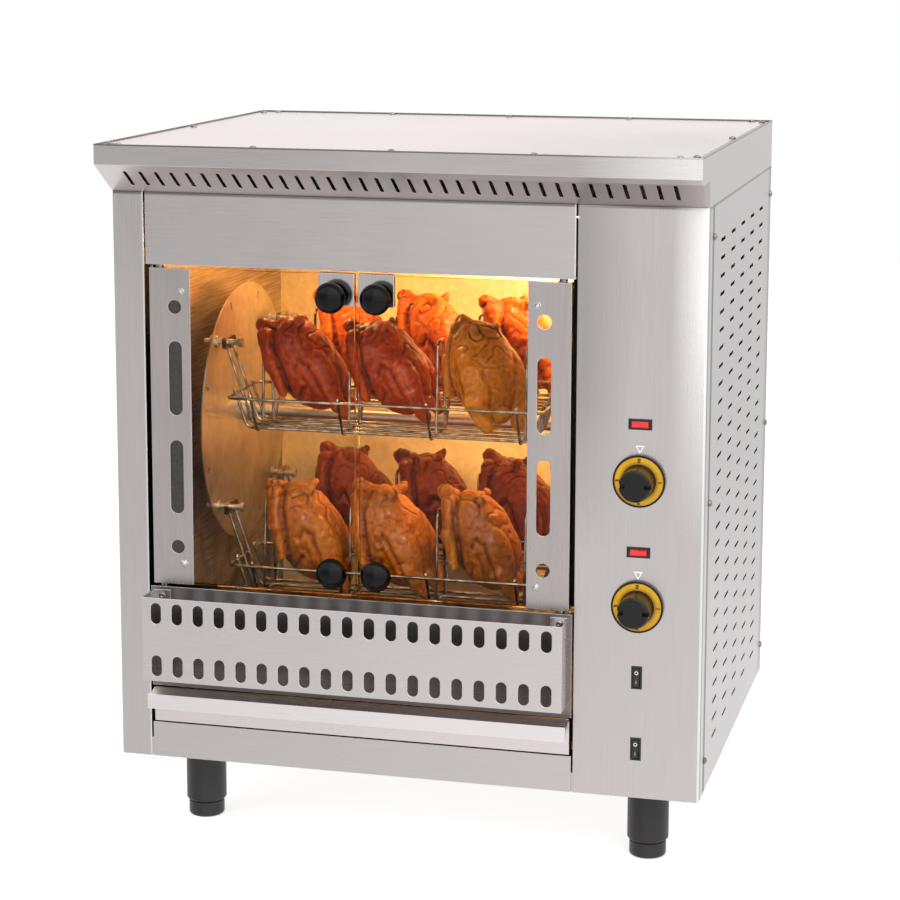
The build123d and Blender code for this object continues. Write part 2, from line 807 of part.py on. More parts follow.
with BuildPart() as left_door_knobs:
    for knob_x, knob_z in knob_places:
        knob_origin = (knob_x, front_y, body_bottom + knob_z)
        with BuildSketch(Plane(origin=knob_origin)):
            with BuildLine():
                Polyline(*knob_outline_back)
                EllipticalCenterArc(
                    (0, knob_rim_depth),
                    knob_radius,
                    knob_rim_depth - knob_front,
                    start_angle=270,
                    arc_size=90,
                )
                Line((0, knob_front), (0, knob_back + knob_nut_height))
            make_face()
        revolve(axis=Axis(knob_origin, (0, 1, 0)))
write_piece(left_door_knobs, "left_door_knobs")

for left_piece, right_name in (
    (left_door_stile, "right_door_stile"),
    (left_door_glass, "right_door_glass"),
    (left_door_clip, "right_door_clip"),
    (left_door_knobs, "right_door_knobs"),
):
    with BuildPart() as right_piece:
        mirror(left_piece.part, about=door_mirror)
    write_piece(right_piece, right_name)

# Oven liner: polished side walls and ceiling, with a refractory panel at the back
liner_front = 20.0
liner_low = 28.0
liner_half = opening_half - seam - sheet
liner_left_face = oven_centre_x - liner_half
liner_right_face = oven_centre_x + liner_half
bush_sleeve_radius = 11.0
element_radius = 4.0
element_height = 700.0
front_element_depth = 150.0
rear_element_inset = 112.0
rear_element_depth = oven_depth - rear_element_inset
element_half_gap = 30.0
element_depths = (front_element_depth, rear_element_depth)
element_hole_radius = element_radius + seam
element_leg_depths = [
    depth + side * element_half_gap for depth in element_depths for side in (-1, 1)
]

for liner_name, liner_x in (
    ("liner_left_wall", liner_left_face - sheet),
    ("liner_right_wall", liner_right_face),
):
    with BuildPart() as liner_wall:
        with BuildSketch(facing_side(liner_x)):
            span(liner_front, oven_depth, liner_low, oven_height)
            with Locations((axle_depth, axle_height)):
                Circle(bush_sleeve_radius + seam, mode=Mode.SUBTRACT)
            if liner_x > oven_centre_x:
                with Locations(*[(depth, element_height) for depth in element_leg_depths]):
                    Circle(element_hole_radius, mode=Mode.SUBTRACT)
        extrude(amount=sheet)
    write_piece(liner_wall, liner_name)

# Oven lamps: two holders let into the ceiling, each with a domed glass below
lamp_depth = 295.0
lamp_spacing = 300.0
lamp_holder_radius = 20.0
lamp_holder_height = 42.0
lamp_flange_radius = 34.0
lamp_flange_height = 4.0
lamp_glass_radius = 28.0
lamp_glass_drop = 20.0
lamp_glass_wall = 2.5
lamp_places = [(oven_centre_x + side * lamp_spacing / 2, lamp_depth) for side in (-1, 1)]

with BuildPart() as liner_ceiling:
    with BuildSketch(level(oven_height + seam)):
        span(liner_left_face - sheet, liner_right_face + sheet, liner_front, oven_depth)
        with Locations(*lamp_places):
            Circle(lamp_holder_radius + seam, mode=Mode.SUBTRACT)
    extrude(amount=sheet)
write_piece(liner_ceiling, "liner_ceiling")

with BuildPart() as liner_back:
    with BuildSketch(facing_front(oven_depth + seam)):
        span(liner_left_face - sheet, liner_right_face + sheet, liner_low, oven_height)
    extrude(amount=-refractory_thickness)
write_piece(liner_back, "liner_back")

with BuildPart() as oven_lamps:
    with BuildSketch(level(oven_height)):
        with Locations(*lamp_places):
            Circle(lamp_flange_radius)
    extrude(amount=-lamp_flange_height)
    with BuildSketch(level(oven_height)):
        with Locations(*lamp_places):
            Circle(lamp_holder_radius)
    extrude(amount=lamp_holder_height)
    chamfer(oven_lamps.edges().group_by(Axis.Z)[0], lamp_flange_height / 2)
write_piece(oven_lamps, "oven_lamps")

with BuildPart() as oven_lamp_glasses:
    glass_rim = oven_height - lamp_flange_height - seam
    with BuildSketch(level(glass_rim)):
        with Locations(*lamp_places):
            Circle(lamp_glass_radius)
    extrude(amount=-lamp_glass_drop)
    fillet(oven_lamp_glasses.edges().group_by(Axis.Z)[0], lamp_glass_drop / 2)
    offset(amount=-lamp_glass_wall, openings=oven_lamp_glasses.faces().filter_by(Axis.Z).group_by(Axis.Z)[-1])
write_piece(oven_lamp_glasses, "oven_lamp_glasses")

# Heating elements: two hairpin tubes under the ceiling, one for each circuit
element_turn_inset = 60.0
element_tail = 28.0
element_left = liner_left_face + element_turn_inset
element_right = liner_right_face + sheet + element_tail

with BuildPart() as heating_elements:
    for element_depth in element_depths:
        near_y = element_depth - element_half_gap
        far_y = element_depth + element_half_gap
        with BuildLine(level(element_height)) as element_path:
            FilletPolyline(
                (element_right, near_y),
                (element_left, near_y),
                (element_left, far_y),
                (element_right, far_y),
                radius=element_half_gap * 2 / 3,
            )
        with BuildSketch(Plane(origin=element_path.line @ 0, z_dir=element_path.line % 0)):
            Circle(element_radius)
        sweep(path=element_path.line)
write_piece(heating_elements, "heating_elements")

# Tray runners: two angles along the foot of the oven walls, under the edges of the drip tray
runner_width = 24.0
runner_height = 22.0
runner_back = oven_depth - 2 * runner_width
tray_clearance = 0.4
tray_bottom = tray_low + tray_gap

with BuildPart() as tray_runners:
    runner_top = tray_bottom - tray_clearance
    for wall_x, inward in ((liner_left_face, 1), (liner_right_face, -1)):
        with BuildSketch(facing_front(liner_front)):
            span(*sorted((wall_x, wall_x + inward * runner_width)), runner_top - sheet, runner_top)
            span(*sorted((wall_x, wall_x + inward * sheet)), runner_top - sheet, runner_top + runner_height)
        extrude(amount=-runner_back)
write_piece(tray_runners, "tray_runners")

# Drip tray: shallow pan behind a front plate with a sloping pull along its top
tray_side_gap = 10.0
tray_pan_wall = 1.2
tray_pan_height = 38.0
tray_pan_depth = 530.0
tray_pull_depth = 25.0
tray_pull_drop = 10.0
tray_pull_hem = 5.0
tray_pull_edge = tray_high - tray_pull_drop
tray_pull_outline = [
    (0, tray_high),
    (-tray_pull_depth, tray_pull_edge),
    (-tray_pull_depth, tray_pull_edge - tray_pull_hem),
    (sheet - tray_pull_depth, tray_pull_edge - tray_pull_hem),
    (sheet - tray_pull_depth, tray_pull_edge - sheet),
    (0, tray_high - sheet),
]
tray_pan_left = liner_left_face + tray_side_gap
tray_pan_right = liner_right_face - tray_side_gap
tray_face_left = opening_left + panel_joint * 2
tray_face_right = opening_right - panel_joint * 2

with BuildPart() as drip_tray:
    with BuildSketch(level(tray_bottom)):
        span(tray_pan_left, tray_pan_right, 0, tray_pan_depth)
    extrude(amount=tray_pan_height)
    offset(amount=-tray_pan_wall, openings=drip_tray.faces().sort_by(Axis.Z)[-1])
    with BuildSketch(facing_side(tray_face_left)):
        span(0, sheet, tray_low, tray_high)
        with BuildLine():
            Polyline(*tray_pull_outline, close=True)
        make_face()
    extrude(amount=tray_face_right - tray_face_left)
write_piece(drip_tray, "drip_tray")

# Gearmotor: gearbox on the outside of the right oven wall, with the motor behind it
gearbox_depth = 90.0
gearbox_height = 120.0
gearbox_thickness = 46.0
gearbox_rounding = 8.0
motor_radius = 36.0
motor_length = 78.0
motor_drop = 18.0
motor_rounding = 5.0
axle_engagement = 28.0
gearbox_left = liner_right_face + sheet + seam

with BuildPart() as gearmotor:
    with BuildSketch(facing_side(gearbox_left)):
        with Locations((axle_depth, axle_height - motor_drop)):
            RectangleRounded(gearbox_depth, gearbox_height, gearbox_rounding)
    extrude(amount=gearbox_thickness)
    with BuildSketch(facing_side(gearbox_left + gearbox_thickness)):
        with Locations((axle_depth, axle_height - motor_drop)):
            Circle(motor_radius)
    extrude(amount=motor_length)
    fillet(gearmotor.edges().group_by(Axis.X)[-1], motor_rounding)
    with BuildSketch(facing_side(gearbox_left)):
        with Locations((axle_depth, axle_height)):
            Circle(axle_radius + running_gap)
    extrude(amount=axle_engagement + seam, mode=Mode.SUBTRACT)
write_piece(gearmotor, "gearmotor")

# Axle bushes: flanged sleeves in the two oven walls
bush_flange_radius = 17.0
bush_flange_length = 4.0
bush_sleeve_length = 8.0

with BuildPart() as axle_bushes:
    for wall_x, outward, sleeve_length in (
        (liner_left_face, -1, bush_sleeve_length),
        (liner_right_face, 1, sheet),
    ):
        with BuildSketch(facing_side(wall_x - outward * seam)):
            with Locations((axle_depth, axle_height)):
                Circle(bush_flange_radius)
                Circle(axle_radius + running_gap, mode=Mode.SUBTRACT)
        extrude(amount=-outward * bush_flange_length)
        with BuildSketch(facing_side(wall_x - outward * seam)):
            with Locations((axle_depth, axle_height)):
                Circle(bush_sleeve_radius)
                Circle(axle_radius + running_gap, mode=Mode.SUBTRACT)
        extrude(amount=outward * (sleeve_length + seam))
write_piece(axle_bushes, "axle_bushes")

# Rotor: axle through both walls, with a disc near each end
disc_thickness = 2.0
disc_wall_gap = 30.0
disc_fit = 0.05
disc_slot_length = 12.0
disc_slot_width = 5.0
disc_slot_circle = 165.0
disc_slot_angles = (20.0, 70.0)
axle_left = liner_left_face - bush_sleeve_length
axle_right = gearbox_left + axle_engagement
left_disc_x = liner_left_face + disc_wall_gap
right_disc_x = liner_right_face - disc_wall_gap - disc_thickness

with BuildPart() as axle:
    with BuildSketch(facing_side(axle_left)):
        with Locations((axle_depth, axle_height)):
            Circle(axle_radius)
    extrude(amount=axle_right - axle_left)
    chamfer(axle.edges(), axle_radius / 8)
write_piece(axle, "axle")

for disc_name, disc_x in (("left_disc", left_disc_x), ("right_disc", right_disc_x)):
    with BuildPart() as disc:
        with BuildSketch(facing_side(disc_x)):
            with Locations((axle_depth, axle_height)):
                Circle(disc_radius)
                Circle(axle_radius + disc_fit, mode=Mode.SUBTRACT)
                with PolarLocations(pivot_circle_radius, 4, start_angle=pivot_angle):
                    Circle(hanger_pin_radius + disc_fit, mode=Mode.SUBTRACT)
                for slot_angle in disc_slot_angles:
                    with PolarLocations(disc_slot_circle, 4, start_angle=slot_angle):
                        SlotOverall(disc_slot_length, disc_slot_width, mode=Mode.SUBTRACT)
        extrude(amount=disc_thickness)
    write_piece(disc, disc_name)

# Drive collars: clamped on the axle against the discs
collar_radius = 16.0
collar_length = 16.0

with BuildPart() as disc_collars:
    for collar_x, inward in ((left_disc_x + disc_thickness, 1), (right_disc_x, -1)):
        with BuildSketch(facing_side(collar_x)):
            with Locations((axle_depth, axle_height)):
                Circle(collar_radius)
                Circle(axle_radius + disc_fit, mode=Mode.SUBTRACT)
        extrude(amount=inward * collar_length)
write_piece(disc_collars, "disc_collars")

# Hanger pins: eight stub shafts through the discs, each with a nut outside and a head inside
hanger_reach = 36.0
hanger_tail = 16.0
hanger_nut_radius = 8.0
hanger_nut_length = 7.0
hanger_washer_length = 2.5
hanger_head_radius = 6.5
hanger_head_length = 5.0
pivot_places = [
    (
        axle_depth + pivot_circle_radius * cos(radians(angle)),
        axle_height + pivot_circle_radius * sin(radians(angle)),
    )
    for angle in (180 - pivot_angle, pivot_angle, 180 + pivot_angle, -pivot_angle)
]

with BuildPart() as hanger_pins:
    for disc_x, inward in ((left_disc_x + disc_thickness, 1), (right_disc_x, -1)):
        for start, length, radius in (
            (-disc_thickness - hanger_tail, disc_thickness + hanger_tail + hanger_reach, hanger_pin_radius),
            (-disc_thickness, -hanger_nut_length, hanger_nut_radius),
            (0, hanger_washer_length, hanger_nut_radius),
            (hanger_reach - hanger_head_length, hanger_head_length, hanger_head_radius),
        ):
            with BuildSketch(facing_side(disc_x + inward * start)):
                with Locations(*pivot_places):
                    Circle(radius)
            extrude(amount=inward * length)
write_piece(hanger_pins, "hanger_pins")

# Wire basket, drawn round its own pivot: bent floor wires, a rail, cross wires and hairpin dividers
basket_floor_drop = 109.0
basket_rail_drop = 65.0
basket_rail_half_width = 66.0
basket_end_lean = 37.5
basket_floor_pitch = 24.0
basket_bend_radius = 10.0
basket_end_rise = 5.0
weld_depth = 0.8
divider_count = 4
divider_end_inset = 14.5
divider_half_width = 24.0
divider_top_half_width = 15.0
divider_rise = 15.0
cross_half_width = 40.0
hanger_plate_width = 40.0
hanger_plate_height = 16.0
hanger_plate_thickness = 6.0
weld_pitch = 2 * wire_radius - weld_depth
hanger_gap = hanger_reach - hanger_head_length - hanger_washer_length
hanger_middle = hanger_washer_length + hanger_gap / 2
pivot_half_length = (right_disc_x - left_disc_x - disc_thickness) / 2 - hanger_middle
basket_floor_half_length = pivot_half_length - basket_end_lean
end_slope_share = basket_end_lean / basket_floor_drop
rail_rise = basket_floor_drop - basket_rail_drop
rail_half_length = basket_floor_half_length + end_slope_share * rail_rise + weld_pitch
outer_wire_drop = basket_rail_drop - basket_end_rise
outer_wire_reach = basket_floor_half_length + end_slope_share * (rail_rise + basket_end_rise)
cross_drop = basket_floor_drop + weld_pitch
cross_rail_reach = basket_rail_half_width - weld_pitch
cross_slope_share = (cross_rail_reach - cross_half_width) / (cross_drop - basket_rail_drop)
cross_reach = cross_rail_reach + cross_slope_share * basket_end_rise
divider_pitch = 2 * (basket_floor_half_length - divider_end_inset) / (divider_count - 1)
divider_places = [(index - (divider_count - 1) / 2) * divider_pitch for index in range(divider_count)]


def bent_wire(points, plane, close=False):
    """Round wire along points of a plane, with a rounded bend at each corner."""
    with BuildLine(plane) as path:
        FilletPolyline(*points, radius=basket_bend_radius, close=close)
    start = path.wires()[0]
    with BuildSketch(Plane(origin=start @ 0, z_dir=start % 0)) as section:
        Circle(wire_radius)
    sweep(sections=section.sketch, path=start)


with BuildPart() as basket_form:
    for wire_y, top_x, top_drop in (
        (-3 / 2, outer_wire_reach, outer_wire_drop),
        (-1 / 2, pivot_half_length, 0),
        (1 / 2, pivot_half_length, 0),
        (3 / 2, outer_wire_reach, outer_wire_drop),
    ):
        floor_plane = Plane(origin=(0, wire_y * basket_floor_pitch, 0), x_dir=(1, 0, 0), z_dir=(0, -1, 0))
        bent_wire(
            [
                (-top_x, -top_drop),
                (-basket_floor_half_length, -basket_floor_drop),
                (basket_floor_half_length, -basket_floor_drop),
                (top_x, -top_drop),
            ],
            floor_plane,
        )
    bent_wire(
        [
            (rail_half_length, -basket_rail_half_width),
            (rail_half_length, basket_rail_half_width),
            (-rail_half_length, basket_rail_half_width),
            (-rail_half_length, -basket_rail_half_width),
        ],
        Plane.XY.offset(-basket_rail_drop),
        close=True,
    )
    for divider_x in divider_places:
        bent_wire(
            [
                (-cross_reach, -outer_wire_drop),
                (-cross_half_width, -cross_drop),
                (cross_half_width, -cross_drop),
                (cross_reach, -outer_wire_drop),
            ],
            Plane.YZ.offset(divider_x),
        )
        bent_wire(
            [
                (-divider_half_width, -cross_drop),
                (-divider_top_half_width, divider_rise),
                (divider_top_half_width, divider_rise),
                (divider_half_width, -cross_drop),
            ],
            Plane.YZ.offset(divider_x + weld_pitch),
        )
    for end in (-1, 1):
        with BuildSketch(Plane.YZ.offset(end * pivot_half_length)):
            RectangleRounded(hanger_plate_width, hanger_plate_height, hanger_plate_height / 3)
        extrude(amount=hanger_plate_thickness / 2, both=True)
    with BuildSketch(Plane.YZ):
        Circle(hanger_pin_radius + running_gap)
    extrude(amount=pivot_half_length + cut_overrun, both=True, mode=Mode.SUBTRACT)

# The basket's wires in simpler groups: the floor, the two ends, the two long sides and each divider
floor_cut = Plane.XY.offset(basket_bend_radius / 2 - basket_floor_drop)
end_cut = basket_floor_half_length - divider_end_inset / 2

with BuildPart() as basket_floor:
    add(basket_form.part)
    split(bisect_by=floor_cut, keep=Keep.BOTTOM)

with BuildPart() as basket_frame:
    add(basket_form.part)
    split(bisect_by=floor_cut, keep=Keep.TOP)
    for end in (-1, 1):
        split(bisect_by=Plane.YZ.offset(end * end_cut), keep=Keep.BOTH)

basket_groups = [*basket_floor.part.solids(), *basket_frame.part.solids()]

# Chicken, drawn round the same pivot: a plump body leaning to the left, legs folded along it
chicken_side_gap = 4.5
chicken_half_width = divider_pitch / 2 - chicken_side_gap
chicken_half_depth = 56.0
chicken_height = 158.0
chicken_floor_gap = 0.3
chicken_sink = 3.0
chicken_floor = wire_radius + chicken_floor_gap - basket_floor_drop
limb_position_shares = (0.0, 0.12, 0.4, 0.75, 0.94, 1.0)
limb_tip_share = 0.1
body_radius_shares = (limb_tip_share, 0.55, 1.0, 0.9, 0.5, limb_tip_share)
leg_radius_shares = (limb_tip_share, 0.7, 1.0, 0.62, 0.5, limb_tip_share)
chicken_limb_shares = [
    # start and end as shares of half width, half depth and height; radius as a share of half depth
    ((-0.46, 0.0, 0.91), (0.42, 0.0, 0.06), 0.88, body_radius_shares),
    ((-0.43, 0.0, 0.83), (-1.11, 0.0, 1.03), 0.30, leg_radius_shares),
    ((-0.86, -0.54, 0.92), (-0.56, -0.74, 0.34), 0.25, leg_radius_shares),
    ((-0.86, 0.54, 0.92), (-0.56, 0.74, 0.34), 0.25, leg_radius_shares),
    ((-0.14, -0.44, 0.72), (0.74, -0.48, 0.02), 0.46, leg_radius_shares),
    ((-0.14, 0.44, 0.72), (0.74, 0.48, 0.02), 0.46, leg_radius_shares),
]


def limb(start, end, radius, radius_shares):
    """Swelling round limb from start to end, turned about the line between them."""
    along = Vector(*end) - Vector(*start)
    section = Plane(origin=start, x_dir=along, z_dir=along.cross(Vector(0, 1, 0)))
    outline = [
        (share * along.length, radius * radius_share)
        for share, radius_share in zip(limb_position_shares, radius_shares)
    ]
    with BuildSketch(section) as profile:
        with BuildLine():
            Spline(*outline, tangents=[(0, 1), (0, -1)])
            Polyline(outline[-1], (along.length, 0), (0, 0), outline[0])
        make_face()
    revolve(profiles=profile.sketch, axis=Axis(start, along))


with BuildPart() as chicken_form:
    for start_share, end_share, radius_share, radius_shares in chicken_limb_shares:
        limb_ends = [
            (
                share[0] * chicken_half_width,
                share[1] * chicken_half_depth,
                chicken_floor - chicken_sink + share[2] * chicken_height,
            )
            for share in (start_share, end_share)
        ]
        limb(*limb_ends, radius_share * chicken_half_depth, radius_shares)
    split(bisect_by=Plane.XY.offset(chicken_floor), keep=Keep.TOP)

chickens_per_basket = 3
basket_names = ("front_top", "rear_top", "front_bottom", "rear_bottom")
chicken_places = [
    (index - (chickens_per_basket - 1) / 2) * divider_pitch + weld_pitch
    for index in range(chickens_per_basket)
]

for basket_name, (pivot_depth, pivot_height) in zip(basket_names, pivot_places):
    pivot_y = front_y + pivot_depth
    pivot_z = body_bottom + pivot_height
    basket = Compound([Pos(oven_centre_x, pivot_y, pivot_z) * group for group in basket_groups])
    write_shape(basket, f"basket_{basket_name}")
    with BuildPart() as chickens:
        with Locations(*[(oven_centre_x + place, pivot_y, pivot_z) for place in chicken_places]):
            add(chicken_form.part)
    write_piece(chickens, f"chickens_{basket_name}")

# Cabinet screws: pan heads on the top, sides, back and the guard's tabs
with BuildPart() as cabinet_screws:
    for screw_plane, places, outward in (
        (level(top_low + sheet), top_screw_places, 1),
        (facing_side(side_x), side_screw_places, 1),
        (facing_side(-side_x), side_screw_places, -1),
        (facing_front(body_depth), rear_screw_places, -1),
        (facing_front(-seam - sheet), guard_screw_places, 1),
    ):
        with BuildSketch(screw_plane):
            with Locations(*places):
                Circle(screw_head_radius)
        extrude(amount=outward * screw_head_height)
        with BuildSketch(screw_plane):
            with Locations(*places):
                Circle(screw_shank_radius)
        extrude(amount=-outward * screw_shank_length)
write_piece(cabinet_screws, "cabinet_screws")
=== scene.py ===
import math
import random

import bmesh
import bpy
import numpy
from mathutils import Matrix, Vector, noise


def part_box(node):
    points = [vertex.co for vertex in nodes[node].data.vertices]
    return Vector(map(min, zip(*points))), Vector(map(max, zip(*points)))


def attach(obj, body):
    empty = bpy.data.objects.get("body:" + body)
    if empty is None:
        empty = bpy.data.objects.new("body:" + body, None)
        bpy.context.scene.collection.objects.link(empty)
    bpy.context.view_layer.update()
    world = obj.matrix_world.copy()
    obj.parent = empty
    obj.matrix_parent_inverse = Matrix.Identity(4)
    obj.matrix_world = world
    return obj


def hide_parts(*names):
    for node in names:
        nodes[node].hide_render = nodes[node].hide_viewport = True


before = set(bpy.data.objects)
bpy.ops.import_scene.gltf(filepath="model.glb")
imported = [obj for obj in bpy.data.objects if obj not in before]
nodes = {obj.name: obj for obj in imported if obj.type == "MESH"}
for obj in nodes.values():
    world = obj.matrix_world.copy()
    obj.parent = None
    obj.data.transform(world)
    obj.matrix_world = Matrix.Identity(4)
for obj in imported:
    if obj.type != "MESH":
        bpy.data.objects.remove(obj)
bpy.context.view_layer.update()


# Legs and feet
# Four short legs under the base pan. Each is a black moulded sleeve bolted up through the pan, with a
# foot that screws into it to level the oven.

def swatch(code):
    """The colour of a swatch card, as the light it sends back."""
    tones = [int(code[i:i + 2], 16) / 255 for i in (0, 2, 4)]
    return [t / 12.92 if t <= 0.04045 else ((t + 0.055) / 1.055) ** 2.4 for t in tones] + [1.0]


class Finish:
    """One surface finish: a material, its shader and the nodes that vary it over the surface."""

    def __init__(self, name, colour, roughness, metallic=0.0, **sockets):
        self.material = bpy.data.materials.new(name)
        self.material.use_nodes = True
        self.tree = self.material.node_tree
        self.shader = self.tree.nodes["Principled BSDF"]
        self.place = self.add("ShaderNodeTexCoord").outputs["Object"]
        self.normal = None
        self.set(Base_Color=swatch(colour), Roughness=roughness, Metallic=metallic, **sockets)

    def set(self, **sockets):
        """Sets sockets of the shader that are the same all over."""
        for name, value in sockets.items():
            self.shader.inputs[name.replace("_", " ")].default_value = value

    def add(self, kind, inputs=None, **settings):
        """A new node, with its settings, and its inputs given as values or as other nodes' outputs."""
        node = self.tree.nodes.new(kind)
        for name, value in settings.items():
            setattr(node, name, value)
        for name, value in (inputs or {}).items():
            self.feed(value, node.inputs[name])
        return node

    def feed(self, value, socket):
        """Puts a value or another node's output into a socket."""
        if isinstance(value, bpy.types.NodeSocket):
            self.tree.links.new(value, socket)
        else:
            socket.default_value = value

    def wire(self, name, output):
        """Feeds a shader socket from the graph."""
        self.tree.links.new(output, self.shader.inputs[name])

    def cloud(self, scale, stretch=(1.0, 1.0, 1.0), detail=3.0, warp=0.0):
        """Uneven clouds or streaks, from 0 to 1, scale to the metre."""
        spread = self.add("ShaderNodeMapping", {"Vector": self.place, "Scale": stretch})
        cloud = self.add("ShaderNodeTexNoise", {
            "Vector": spread.outputs[0], "Scale": scale, "Detail": detail, "Distortion": warp})
        return cloud.outputs["Fac"]

    def spread(self, value, low, high, start=0.0, end=1.0):
        """The range start to end turned into the range low to high."""
        return self.add("ShaderNodeMapRange", {
            "Value": value, "From Min": start, "From Max": end, "To Min": low, "To Max": high}).outputs[0]

    def sum(self, first, second, how="ADD"):
        """Two values worked into one."""
        node = self.add("ShaderNodeMath", operation=how)
        self.feed(first, node.inputs[0])
        self.feed(second, node.inputs[1])
        return node.outputs[0]

    def tint(self, value, *stops):
        """Colours of a scale of swatches, each at its place from 0 to 1."""
        ramp = self.add("ShaderNodeValToRGB", {"Fac": value})
        while len(ramp.color_ramp.elements) < len(stops):
            ramp.color_ramp.elements.new(1.0)
        for element, (place, code) in zip(ramp.color_ramp.elements, stops):
            element.position = place
            element.color = swatch(code)
        return ramp.outputs["Color"]

    def mix(self, share, first, second):
        """One colour over another."""
        node = self.add("ShaderNodeMix", data_type="RGBA")
        for socket, value in ((node.inputs[0], share), (node.inputs[6], first), (node.inputs[7], second)):
            self.feed(swatch(value) if isinstance(value, str) else value, socket)
        return node.outputs[2]

    def along(self, axis):
        """A coordinate of the surface, in metres."""
        return self.add("ShaderNodeSeparateXYZ", {"Vector": self.place}).outputs[axis]

    def band(self, axis, low, high, fade):
        """1 from low to high along an axis, fading to 0 outside."""
        reach = self.along(axis)
        return self.sum(self.spread(reach, 0.0, 1.0, low - fade, low),
                        self.spread(reach, 1.0, 0.0, high, high + fade), "MULTIPLY")

    def mark(self, colour, code, strength, *bands):
        """A colour with a marked place where all the bands meet."""
        for band in bands:
            strength = self.sum(strength, self.band(*band), "MULTIPLY")
        return self.mix(strength, colour, code)

    def from_line(self, x, z):
        """Distance from a line that runs front to back through x and z."""
        away = self.add("ShaderNodeVectorMath", {0: self.place, 1: (x, 0.0, z)}, operation="SUBTRACT")
        flat = self.add("ShaderNodeVectorMath", {0: away.outputs[0], 1: (1.0, 0.0, 1.0)},
                        operation="MULTIPLY")
        return self.add("ShaderNodeVectorMath", {0: flat.outputs[0]}, operation="LENGTH").outputs["Value"]

    def soften(self, radius):
        """Rounds the corners that light catches."""
        self.normal = self.add("ShaderNodeBevel", {"Radius": radius}, samples=4).outputs[0]
        self.wire("Normal", self.normal)
        return self.normal

    def corners(self, radius):
        """How near a corner the surface is: 0 on the flat, 1 at the corner."""
        rounded = self.soften(radius)
        flat = self.add("ShaderNodeNewGeometry").outputs["Normal"]
        facing = self.add("ShaderNodeVectorMath", operation="DOT_PRODUCT")
        self.feed(rounded, facing.inputs[0])
        self.feed(flat, facing.inputs[1])
        flat_limit, corner_limit = 0.995, 0.8
        return self.spread(facing.outputs["Value"], 0.0, 1.0, flat_limit, corner_limit)

    def emboss(self, height, strength, depth):
        """Raises and sinks the surface a little."""
        bump = self.add("ShaderNodeBump", {"Height": height, "Strength": strength, "Distance": depth})
        if self.normal:
            self.feed(self.normal, bump.inputs["Normal"])
        self.normal = bump.outputs[0]
        self.wire("Normal", self.normal)


def dress(finish, *names):
    """Gives pieces of the frame their finish."""
    for name in names:
        nodes[name].data.materials[0] = finish.material


def moulded_plastic(name, dark, light, roughness, scuff_and_shine):
    """Plastic with a fine spark grain, lighter at its corners, partly from scuffs and partly as a painted
    highlight.
    """
    grain_scale, grain_strength, grain_depth = 900.0, 0.12, 0.0003
    patch_scale, corner_radius = 22.0, 0.0012
    plastic = Finish(name, dark, roughness)
    grain = plastic.cloud(grain_scale, detail=2.0)
    worn_and_lit = plastic.corners(corner_radius)
    patches = plastic.cloud(patch_scale)
    colour = plastic.tint(patches, (0.3, dark), (0.75, light))
    # The corners are painted lighter: scuffs, and a painted edge highlight.
    plastic.wire("Base Color", plastic.mix(worn_and_lit, colour, scuff_and_shine))
    plastic.wire("Roughness", plastic.spread(patches, roughness - 0.08, roughness + 0.1))
    plastic.emboss(grain, grain_strength, grain_depth)
    return plastic


leg_plastic = moulded_plastic("leg_plastic", "262425", "343133", 0.42, "5A5758")
dress(leg_plastic, "leg_sleeves", "foot_front_left", "foot_front_right", "foot_rear_left", "foot_rear_right")


# Cabinet sheets
# The outer cabinet is folded from 1.5 mm brushed stainless sheet: base pan, sides, back, hood, top and
# the front pieces, screwed together at their flanges. The folds round the oven mouth are painted near black
# as shade.

def sheet_steel(name, grain, pale="DAD3D2", dark="D2CBCA", roughness=0.3, marks=(), painted_glare=()):
    """Brushed stainless sheet, its folds painted with a highlight. The grain is the number of streaks to the
    metre in X, Y and Z, marks are places of another colour, some of them painted shade or highlight, and the
    last argument is where the sheet is painted white and matt as a highlight of the window's light."""
    streak_share, broad_share, broad_scale = 0.6, 0.4, 4.0
    fold_radius, fold_share, fold_shine = 0.0014, 0.8, "FAF6F5"
    rough_change, grain_strength, grain_depth = 0.03, 0.02, 0.0002
    steel = Finish(name, pale, roughness, metallic=1.0)
    streaks = steel.cloud(1.0, grain, detail=3.0)
    broad = steel.cloud(broad_scale, detail=3.0, warp=0.4)
    edge = steel.corners(fold_radius)
    tone = steel.sum(steel.sum(streaks, streak_share, "MULTIPLY"), steel.sum(broad, broad_share, "MULTIPLY"))
    colour = steel.tint(steel.spread(tone, 0.0, 1.0, 0.32, 0.68), (0.0, dark), (1.0, pale))
    # Painted highlight along the folds.
    colour = steel.mix(steel.spread(edge, 0.0, fold_share), colour, fold_shine)
    for code, strength, *bands in marks:
        colour = steel.mark(colour, code, strength, *bands)
    # Painted highlight: the sheet turns white and matt where the window's light falls.
    if painted_glare:
        glare = painted_glare[0]
        for band in painted_glare[1:]:
            glare = steel.sum(glare, steel.band(*band), "MULTIPLY")
        colour = steel.mix(glare, colour, "FFFFFF")
        steel.wire("Metallic", steel.spread(glare, 1.0, 0.0))
    steel.wire("Base Color", colour)
    rough = steel.spread(streaks, roughness - rough_change, roughness + rough_change, 0.3, 0.7)
    steel.wire("Roughness", steel.sum(rough, steel.spread(broad, -rough_change, 0.04, 0.35, 0.7)))
    steel.emboss(streaks, grain_strength, grain_depth)
    return steel


long_way, cross_way = 16.0, 1100.0
across = (long_way, cross_way, cross_way)
upright = (cross_way, cross_way, long_way)
inward = (cross_way, long_way, cross_way)
sheet_back = -0.2697
side_x = 0.385
hood_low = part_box("hood")[0].z
# Near-black painted shade for faces behind the front, and grey painted shade for seams and joints; edge_shine
# is a painted highlight.
gap_shade, seam_shade, joint_shade, edge_shine = "120E0C", "5E5856", "625D5D", "FFFFFF"
behind = ("Y", sheet_back, 1.0, 0.0006)
under_hood = (seam_shade, 0.7, ("Z", hood_low - 0.0022, hood_low, 0.0022))

